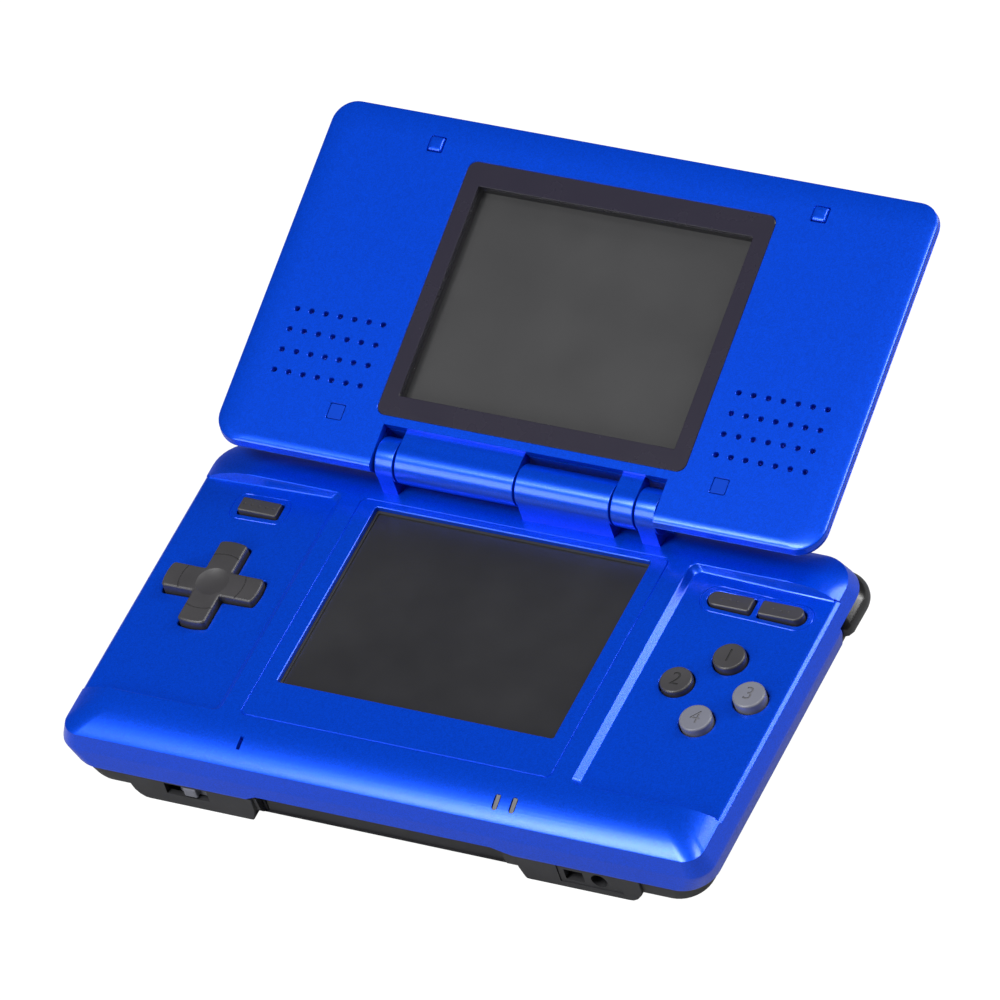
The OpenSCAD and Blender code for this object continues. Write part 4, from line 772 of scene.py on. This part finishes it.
class CONSOLE_OT_base_bottom(bpy.types.Operator):
    """Charcoal bottom shell with its front pods"""
    bl_idname = "console.base_bottom"
    bl_label = "Base bottom shell"

    def execute(self, context):
        fin = finishes(context)
        # each level: how far the sides and the ends stand in, and the height
        levels = ((6.0, 4.5, 0.8), (5.3, 3.6, 0.84), (4.6, 2.8, 1.0), (3.9, 2.1, 1.3), (3.4, 1.6, 1.75),
                  (2.8, 1.15, 2.4), (2.3, 0.9, 3.2), (1.5, 0.78, 4.6), (0.7, 0.7, 6.68))
        shell = loft([flat_ring(plate_outline(side - WALL_X, WALL_X - side, WALL_FRONT + end,
                                              WALL_REAR - end, 7.0 - end * 0.5), z)
                      for side, end, z in levels])
        outer = ((0, 6.68), (0.1, 3.6), (0.6, 2.1), (1.5, 0.95), (2.6, 0.25), (3.6, 0.0))
        inner = ((1.7, 0.0), (1.1, 0.2), (0.8, 0.8), (0.05, 3.4), (0, 6.68))
        pods = []
        for x0, x1, s in ((-58.6, -29.9, 1), (57.5, 29.7, -1)):
            profile = [(x0 + s * run, z) for run, z in outer] + [(x1 - s * run, z) for run, z in inner]
            if s < 0:
                profile.reverse()
            front = [(x + (0.12 if x < (x0 + x1) / 2 else -0.12), -42.1, max(z, 0.12)) for x, z in profile]
            pods.append(loft([[(x, y, z) for x, z in profile] for y in (-27.5, -41.8)] + [front]))
        combine(shell, pods, "UNION")
        cuts = [column(plate_outline(-68.4, 68.4, -40.0, 37.0, 5.0), 2.3, 8)]
        # rooms in the two pods, slider window, audio socket, cartridge slot and battery cover
        cuts += [box_solid(*box) for box in (
            (-56.3, -32.2, -40.9, -28.7, 1.2, 8), (32.0, 55.2, -40.9, -28.7, 1.2, 8),
            (-50.1, -40.3, -43, -39, 3.1, 6.3), (38.9, 53.0, -43, -39.1, 1.6, 8),
            (-29.0, 26.6, -43.5, -6, 1.5, 8), (27.0, 63.6, -10.5, 26.1, 0, 3))]
        cuts += rear_cuts()
        # case screws and rear feet
        for side in (-1, 1):
            for x, y, r, z in ((66.5, -33, 1.9, 2.0), (66.5, 16, 1.9, 2.0), (58, 31.2, 3.25, 1.3)):
                cuts.append(column(round_outline(side * x, y, r, 32), -1, z))
        combine(shell, cuts)
        settle(tidy(shell), BASE_PLACE, 25)
        finish_piece(shell, "base_bottom", "base", ["base_bottom_shell"], fin["casing"])
        return {"FINISHED"}


class CONSOLE_OT_lid_shells(bpy.types.Operator):
    """Inner and outer shells of the lid with their knuckles"""
    bl_idname = "console.lid_shells"
    bl_label = "Lid shells"

    def execute(self, context):
        fin = finishes(context)
        notch = (-NOTCH_X, NOTCH_X, NOTCH_Y, 12, -8, 8)
        levels = ((0.35, 0.0), (0.3, 0.16), (0.06, 0.2), (0.0, 0.28))
        rings = [lid_ring(inset, LID_SEAM - drop) for inset, drop in levels]
        # straight rim, then the soft roll up to the flat inner face
        for k in range(17):
            a = radians(90 * k / 16)
            run = 1 - cos(a)
            z = LID_SEAM - 1.2 - 0.7 * sin(a)
            rings.append(lid_ring(6.0 * run, z, 0.4 + 2.0 * run, -2.0 * k / 16 + 6.0 * run))
        inner = loft(rings[::-1])
        # hinge notch, seat of the lens, room of the display, seats of bumpers and screw caps
        cuts = [box_solid(*notch)]
        lens = plate(-35.15, 35.15, -65.05, -7.35, 2.0, 8)
        cuts.append(lid_stack(lens, ((0.12, -1), (0.12, 0), (0.0, 0.15), (0.0, 1.2))))
        cuts.append(box_solid(-32.37, 32.37, -60.75, -10.95, -8, 0))
        for side in (-1, 1):
            for x, y in (BUMPER, SCREW_CAP):
                seat = square(side * x, y, 1.75, 0.35)
                cuts.append(lid_stack(seat, ((0.1, -1), (0.1, 0), (0.0, 0.12), (0.0, 1.3))))
        combine(inner, cuts)
        web = [(0, 2.0), (-3.4, 2.7), (NOTCH_Y, LID_IN + 3.6), (NOTCH_Y - 3, LID_IN + 3.6),
               (NOTCH_Y - 3, LID_IN + 1.3), (NOTCH_Y, LID_IN + 1.1), (-2.2, -4.15), (0.0, -4.45)]
        knuckles = []
        for x0, x1 in LID_KNUCKLES:
            knuckles += [barrel(x0, x1, KNUCKLE_R), prism_x(web, x0 + 0.05, x1 - 0.05)]
        combine(inner, knuckles, "UNION")
        # chamfered speaker holes
        r = context.scene.console_look.hole_radius / MM
        hole = turned([(r + 0.1, LID_IN - 0.6), (r + 0.1, LID_IN - 0.01), (r + 0.03, LID_IN + 0.05),
                       (r, LID_IN + 0.14), (r, -1.5)])
        holes = [repeated("speaker_holes", hole, 7, 4, 3.32, 4.62, (side * 50.48, -19.4), fin["blue"])
                 for side in (-1, 1)]
        bpy.data.objects.remove(hole)
        combine(inner, [join(holes)])
        settle(tidy(inner), LID_PLACE)
        finish_piece(inner, "lid_inner", "lid", ["lid_inner_shell"], fin["blue"])

        lip = [lid_ring(0.35, LID_SEAM + 0.01), lid_ring(0.06, LID_SEAM + 0.12)]
        outer = loft(lip + lid_back_rings(0.0, 20))
        combine(outer, [loft([lid_ring(1.4, LID_SEAM - 0.6)] + lid_back_rings(1.4, 10))])
        # walls round the hinge notch
        combine(outer, [box_solid(*wall) for wall in (
            (-33.7, 33.7, -6.8, -5.3, -2.4, 5.15), (-33.7, -32.2, -6.4, 2.6, -2.4, 3.5),
            (32.2, 33.7, -6.4, 2.6, -2.4, 3.5))], "UNION")
        combine(outer, [box_solid(*notch)] + [
            box_solid(x0 - 0.1, x1 + 0.1, -9.4, -4.4, -5, LID_IN + 3.65) for x0, x1 in LID_KNUCKLES])
        settle(tidy(outer), LID_PLACE)
        finish_piece(outer, "lid_outer", "lid", ["lid_outer_shell"], fin["blue"])
        return {"FINISHED"}


class CONSOLE_OT_screens(bpy.types.Operator):
    """Lens with its bezel, the upper display, the touch film and its gasket"""
    bl_idname = "console.screens"
    bl_label = "Screens"

    def execute(self, context):
        fin = finishes(context)
        bezel = lid_stack(plate(-35.1, 35.1, -65.0, -7.4, 1.95, 8), ((-0.1, 0.02), (0.0, 0.12), (0.0, 1.2)))
        window = plate(-31.37, 31.37, -59.75, -11.96, 0.3, 6)
        combine(bezel, [lid_stack(window, ((0.1, -1), (0.1, 0.02), (0.0, 0.12), (0.0, 2)))])
        tidy(bezel)
        pane = column(window(-0.02), LID_IN + 0.16, LID_IN + 1.1)
        coat(bezel.data, fin["bezel"])
        coat(pane.data, fin["pane"])
        lens = settle(join([bezel, pane]), LID_PLACE)
        finish_piece(lens, "upper_lens_plate", "lid", ["upper_lens"], None)
        # display: dark inner walls round a grey face
        face = LID_IN + 3.2
        body = box_solid(-33.87, 33.87, -62.25, -9.45, LID_SEAM, 1.4)
        combine(body, [box_solid(-31.45, 31.45, -59.83, -11.88, LID_SEAM - 1, face)])
        coat(body.data, fin["well"], fin["upper_display"])
        for f in body.data.polygons:
            f.material_index = 1 if abs(f.center.z / MM - face) < 0.01 else 0
        body.data.transform(LID_PLACE)
        finish_piece(body, "upper_display_body", "lid", ["upper_lcd"], None)
        coat(frame["nodes"]["touch_panel"].data, fin["touch"])
        # gasket: a dark band that shows inside the opening
        band = column(plate_outline(-33.4, 33.4, -22.5, 28.6, 0.5, 4), 16.5, 16.8)
        combine(band, [column(plate_outline(-30.75, 30.75, -19.9, 26.0, 0.4, 4), 16, 17)])
        settle(band, BASE_PLACE)
        finish_piece(band, "screen_gasket", "base", ["touch_gasket"], fin["rubber"])
        return {"FINISHED"}


def key_solid(outline, top, rim):
    """Key cap: straight sides and a rounded rim; outline(o) is the outline grown by o."""
    return stack(outline, [(0, KEY_BOTTOM)] + [(-run, top - drop) for run, drop in rounding(rim, 5)])


def numeral(text, size=4.5, depth=0.12):
    """Numeral as a closed solid whose middle is at the origin."""
    curve = bpy.data.curves.new("numeral", "FONT")
    curve.body = text
    curve.size = size * MM
    curve.extrude = depth * MM
    curve.align_x = curve.align_y = "CENTER"
    letter = show("letter", curve)
    bpy.context.view_layer.update()
    mesh = evaluated(letter)
    bpy.data.objects.remove(letter)
    with editing(mesh) as bm:
        bmesh.ops.remove_doubles(bm, verts=bm.verts, dist=1e-6)
    return show("numeral", mesh)


class CONSOLE_OT_keys(bpy.types.Operator):
    """Cross pad, the four round keys, select, start and power"""
    bl_idname = "console.keys"
    bl_label = "Keys"

    def execute(self, context):
        fin = finishes(context)
        self.cross_pad(fin)
        self.round_keys(fin)
        self.bar_keys(fin)
        return {"FINISHED"}

    def cross_pad(self, fin):
        """Cross with a ball-shaped dimple in its middle and a shallow arc on each arm."""
        pad = key_solid(cross(), PAD_TOP, 0.5)
        ball_r, dimple_depth = 9.0, 0.75
        mesh = bpy.data.meshes.new("ball")
        with editing(mesh) as bm:
            bmesh.ops.create_uvsphere(bm, u_segments=64, v_segments=48, radius=ball_r * MM)
        ball = show("ball", mesh)
        combine(pad, [moved(ball, PAD_X, PAD_Y, PAD_TOP + ball_r - dimple_depth)])
        polar = [(7.3, -24 + 4 * k) for k in range(13)] + [(7.0, 24 - 4 * k) for k in range(13)]
        arc = [(r * cos(radians(a)), r * sin(radians(a))) for r, a in polar]
        combine(pad, [column(quarter_turned(arc, turn, PAD_X, PAD_Y), PAD_TOP - 0.16, PAD_TOP + 0.5)
                      for turn in range(4)])
        flange = column(round_outline(PAD_X, PAD_Y, 4.8, 48), KEY_BOTTOM, 13.3)
        combine(pad, [flange], "UNION")
        settle(tidy(pad), BASE_PLACE, 38)
        finish_piece(pad, "cross_pad", "dpad", ["dpad"], fin["dark_key"])

    def round_keys(self, fin):
        """Round keys with engraved numerals."""
        digits = {"top": "1", "left": "2", "right": "3", "bottom": "4"}
        for name, (x, y) in key_places().items():
            key = key_solid(disc(x, y, KEY_R, 64), 17.55, 0.45)
            flange = column(round_outline(x, y, KEY_R + 0.9, 48), KEY_BOTTOM, 13.7)
            combine(key, [flange], "UNION")
            mark = moved(numeral(digits[name]), x, y, 17.5)
            pale = name in ("right", "bottom")
            coat(key.data, fin["light_key" if pale else "dark_key"])
            coat(mark.data, fin["legend_pale" if pale else "legend"])
            combine(key, [mark], material_mode="TRANSFER")
            settle(tidy(key, 0.0015), BASE_PLACE, 38)
            finish_piece(key, "round_key_" + name, "key_" + name, ["face_button_" + name], None)

    def bar_keys(self, fin):
        """Bar keys with a row of small dents that tell them by touch."""
        for name, x, side, length, width in BARS:
            key = key_solid(bar(x, side, length, width, 0.0, 0.5 if side else 0.45, 1.8), 17.1, 0.35)
            half_x, half_y = length / 2 + 0.6, width / 2 + 0.8
            flange = box_solid(x - half_x, x + half_x, BAR_Y - half_y, BAR_Y + half_y, KEY_BOTTOM, 13.7)
            combine(key, [flange], "UNION")
            dent = turned(((0.16, 16.98), (0.3, 17.03), (0.42, 17.3)))
            dents = repeated("dents", dent, 3 if side else 5, 1, 1.7, 0.0, (x, BAR_Y), fin["dark_key"])
            bpy.data.objects.remove(dent)
            combine(key, [dents])
            settle(tidy(key), BASE_PLACE, 38)
            finish_piece(key, name + "_key", "key_" + name, [name + "_button"],
                         fin["dark_key"])


def shoulder_outline(i):
    """Outline of the right shoulder key, standing in by i at its outer and rear faces."""
    outer, rear = 74.35 - i, 40.0 - i * 0.9
    r = max(7.0 - i * 0.4, 3)
    turns = [radians(90 * k / 16) for k in range(17)]
    points = [(outer - r + r * cos(a), rear - r + r * sin(a)) for a in turns]
    return points + [
        (59.0, rear), (58.3, rear - 0.25), (58.0, rear - 0.9), (58.0, 35.8), (58.3, 35.1), (59.0, 34.8),
        (67.5, 34.8), (68.9, 34.3), (69.5, 33.0), (69.6, 31.5), (69.6, 26.2 + i * 0.4),
        (69.9, 25.4 + i * 0.5), (70.6, 25.0 + i * 0.6), (72.4 - i * 0.9, 25.0 + i * 0.7),
        (73.6 - i, 25.6 + i * 0.7), (outer - 0.15, 26.8 + i * 0.6)]


class CONSOLE_OT_shoulders(bpy.types.Operator):
    """Glossy shoulder keys"""
    bl_idname = "console.shoulders"
    bl_label = "Shoulder keys"

    def execute(self, context):
        fin = finishes(context)
        levels = ((0.5, 7.4), (0.15, 7.6), (0.0, 8.0), (0.0, 8.9), (0.15, 9.5), (0.5, 10.2), (1.0, 10.8),
                  (1.6, 11.25), (2.2, 11.52), (2.6, 11.6))
        for side, name in ((1, "right"), (-1, "left")):
            rings = [flat_ring([(side * x, y) for x, y in shoulder_outline(i)][::side], z)
                     for i, z in levels]
            key = combine(loft(rings), [column(round_outline(side * 60.2, 37.4, 0.95, 24), 6, 16)])
            settle(tidy(key), BASE_PLACE, 40)
            finish_piece(key, "shoulder_key_" + name, "trigger_" + name, ["shoulder_" + name],
                         fin["gloss_black"])
        return {"FINISHED"}


def lid_pair(spot, half, r, levels):
    """Two equal square pads on the lid's inner face, one on each side."""
    return join([lid_stack(square(side * spot[0], spot[1], half, r), levels) for side in (-1, 1)])


class CONSOLE_OT_small_parts(bpy.types.Operator):
    """Bumpers, caps, slider knob and finishes of the carried-over pieces"""
    bl_idname = "console.small_parts"
    bl_label = "Small parts"

    def execute(self, context):
        fin = finishes(context)
        bumpers = lid_pair(BUMPER, 1.55, 0.45, (
            (-0.9, -0.4), (-0.4, -0.38), (-0.12, -0.28), (0.0, -0.1), (0.0, 0.75)))
        settle(bumpers, LID_PLACE, 50)
        finish_piece(bumpers, "lid_bumper_pads", "lid", ["lid_bumpers"], fin["blue"])
        caps = lid_pair(SCREW_CAP, 1.6, 0.3, ((-0.12, 0.05), (0.0, 0.15), (0.0, 0.75)))
        settle(caps, LID_PLACE, 50)
        finish_piece(caps, "lid_screw_caps", "lid", ["lid_caps"], fin["cap"])
        # slider knob: a plate that runs behind the window and a softened grip
        knob = box_solid(-47.4, -41.4, -40.75, -38.95, 3.1, 6.3)
        levels = ((0.0, -39.2), (0.0, -41.9), (0.08, -42.1), (0.25, -42.22), (0.6, -42.28))
        grip = loft([[(x, y, z) for x, z in plate_outline(-45.9 + i, -42.9 - i, 3.45 + i, 5.95 - i, 0.35, 4)]
                     for i, y in levels])
        combine(knob, [grip], "UNION")
        settle(knob, BASE_PLACE)
        finish_piece(knob, "volume_knob", "slider", ["volume_slider"], fin["light_key"])
        carried = {
            "casing": ["battery_cover", "card_slot", "cartridge_slot", "slot_cover", "stylus",
                       "stylus_silo", "audio_port", "power_inlet"],
            "rubber": ["rear_feet", "dpad_membrane", "face_button_membrane", "start_select_membrane"],
            "steel": ["lower_lcd", "board_shield", "battery_cover_screw", "case_screws", "dpad_pivot",
                      "power_switch", "volume_switch_body", "microphone", "shoulder_pins",
                      "shoulder_springs", "shoulder_switches", "hinge_cam_unit", "hinge_pin_left",
                      "hinge_pin_right", "speaker_left", "speaker_right", "lid_screws"],
            "board": ["main_board", "wireless_module"],
            "wrap": ["battery"],
            "ribbon": ["display_ribbon"],
            "light": ["light_pipes"],
        }
        for finish, nodes in carried.items():
            for n in nodes:
                coat(frame["nodes"][n].data, fin[finish])
        return {"FINISHED"}


def area(name, place, size, power, target, along=(0, 0, 1)):
    """Rectangular lamp that faces the target; its longer side follows the given direction."""
    lamp = bpy.data.lights.new(name, "AREA")
    lamp.shape = "RECTANGLE"
    lamp.size, lamp.size_y = size
    lamp.energy = power
    obj = show(name, lamp)
    obj.location = place
    back = (Vector(place) - target).normalized()
    side = Vector(along).cross(back).normalized()
    obj.rotation_euler = Matrix((side, back.cross(side), back)).transposed().to_euler()


def fitted_camera(target):
    """Camera as fitted to the photo: far away, with a long lens, looking down from the front right."""
    azimuth, elevation, roll = radians(40.256), radians(46.048), radians(-20.197)
    distance = 2429.468 * MM
    back = Vector((sin(azimuth) * cos(elevation), -cos(azimuth) * cos(elevation),
                   sin(elevation)))
    right = Vector((cos(azimuth), sin(azimuth), 0))
    up = back.cross(right)
    rolled_right = right * cos(roll) + up * sin(roll)
    rolled_up = -right * sin(roll) + up * cos(roll)
    camera = bpy.data.cameras.new("camera")
    camera.sensor_width = 36.0
    camera.sensor_fit = "HORIZONTAL"
    camera.lens = 12113.713 / 1000 * 36.0
    camera.clip_start, camera.clip_end = 0.1, 50
    view = show("camera", camera)
    rotation = Matrix((rolled_right, rolled_up, back)).transposed()
    view.matrix_world = Matrix.Translation(target + back * distance) @ rotation.to_4x4()
    return view


def pale_floor(color):
    """Matt floor; seen straight on, most of it is plain white and the rest keeps the shadow."""
    material, tree, shader = nodes_of("pale_floor")
    put(shader, Base_Color=(*color, 1), Roughness=0.9, Specular_IOR_Level=0.1)
    glow = put(add(tree, "ShaderNodeEmission"), Color=(1, 1, 1, 1), Strength=1.15)
    share = add(tree, "ShaderNodeMath", operation="MULTIPLY")
    share.inputs[1].default_value = 0.88
    tree.links.new(add(tree, "ShaderNodeLightPath").outputs["Is Camera Ray"], share.inputs[0])
    blend = add(tree, "ShaderNodeMixShader")
    for i, node in enumerate((share, shader, glow)):
        tree.links.new(node.outputs[0], blend.inputs[i])
    feed(tree, tree.nodes["Material Output"], Surface=blend.outputs[0])
    return material


class CONSOLE_OT_stage(bpy.types.Operator):
    """Floor, soft lights and the camera"""
    bl_idname = "console.stage"
    bl_label = "Stage"

    def execute(self, context):
        scene = context.scene
        stage = scene.console_stage
        mesh = bpy.data.meshes.new("floor")
        mesh.from_pydata([(-6, -6, 0), (6, -6, 0), (6, 6, 0), (-6, 6, 0)], [], [(0, 1, 2, 3)])
        floor = show("floor", mesh)
        coat(mesh, pale_floor(stage.floor_color))
        world = bpy.data.worlds.new("studio")
        scene.world = world
        world.use_nodes = True
        put(world.node_tree.nodes["Background"], Color=(1, 1, 1, 1), Strength=0.06)
        target = Vector((-6.536 * MM, (34.16 + BASE_Y) * MM, 18 * MM))
        area("front_left", (-0.25, -0.38, 0.92), (0.34, 0.34), stage.key_light, target)
        area("rear_right", (0.67, 0.62, 0.56), (0.26, 0.95), stage.rear_light, target, (-0.65, 0, 0.76))
        area("over_right", (0.36, 0.12, 1.0), (0.26, 0.26), stage.rear_light * 0.4, target)
        area("fill_front", (-0.48, -1.07, 0.6), (0.6, 0.6), stage.fill_light, target)
        scene.camera = fitted_camera(target)
        scene.view_settings.view_transform = "Standard"
        return {"FINISHED"}


class CONSOLE_PT_sidebar(bpy.types.Panel):
    """Lists the operators that build the console"""
    bl_idname = "CONSOLE_PT_sidebar"
    bl_label = "Handheld console"
    bl_space_type = "VIEW_3D"
    bl_region_type = "UI"
    bl_category = "Console"

    def draw(self, context):
        layout = self.layout
        for prop in ("shell_color", "flake_scale", "hole_radius"):
            layout.prop(context.scene.console_look, prop)
        for prop in ("floor_color", "key_light", "rear_light", "fill_light"):
            layout.prop(context.scene.console_stage, prop)
        for name in ORDER:
            layout.operator("console." + name)


ORDER = ("base_top", "base_bottom", "lid_shells", "screens", "keys", "shoulders", "small_parts", "stage")
CLASSES = (ConsoleLook, ConsoleStage, CONSOLE_OT_base_top, CONSOLE_OT_base_bottom, CONSOLE_OT_lid_shells,
           CONSOLE_OT_screens, CONSOLE_OT_keys, CONSOLE_OT_shoulders, CONSOLE_OT_small_parts,
           CONSOLE_OT_stage, CONSOLE_PT_sidebar)


def register():
    for c in CLASSES:
        bpy.utils.register_class(c)
    bpy.types.Scene.console_look = PointerProperty(type=ConsoleLook)
    bpy.types.Scene.console_stage = PointerProperty(type=ConsoleStage)


def unregister():
    del bpy.types.Scene.console_look
    del bpy.types.Scene.console_stage
    for c in reversed(CLASSES):
        bpy.utils.unregister_class(c)


def main():
    register()
    for name in ORDER:
        getattr(bpy.ops.console, name)()


if __name__ == "__main__":
    main()
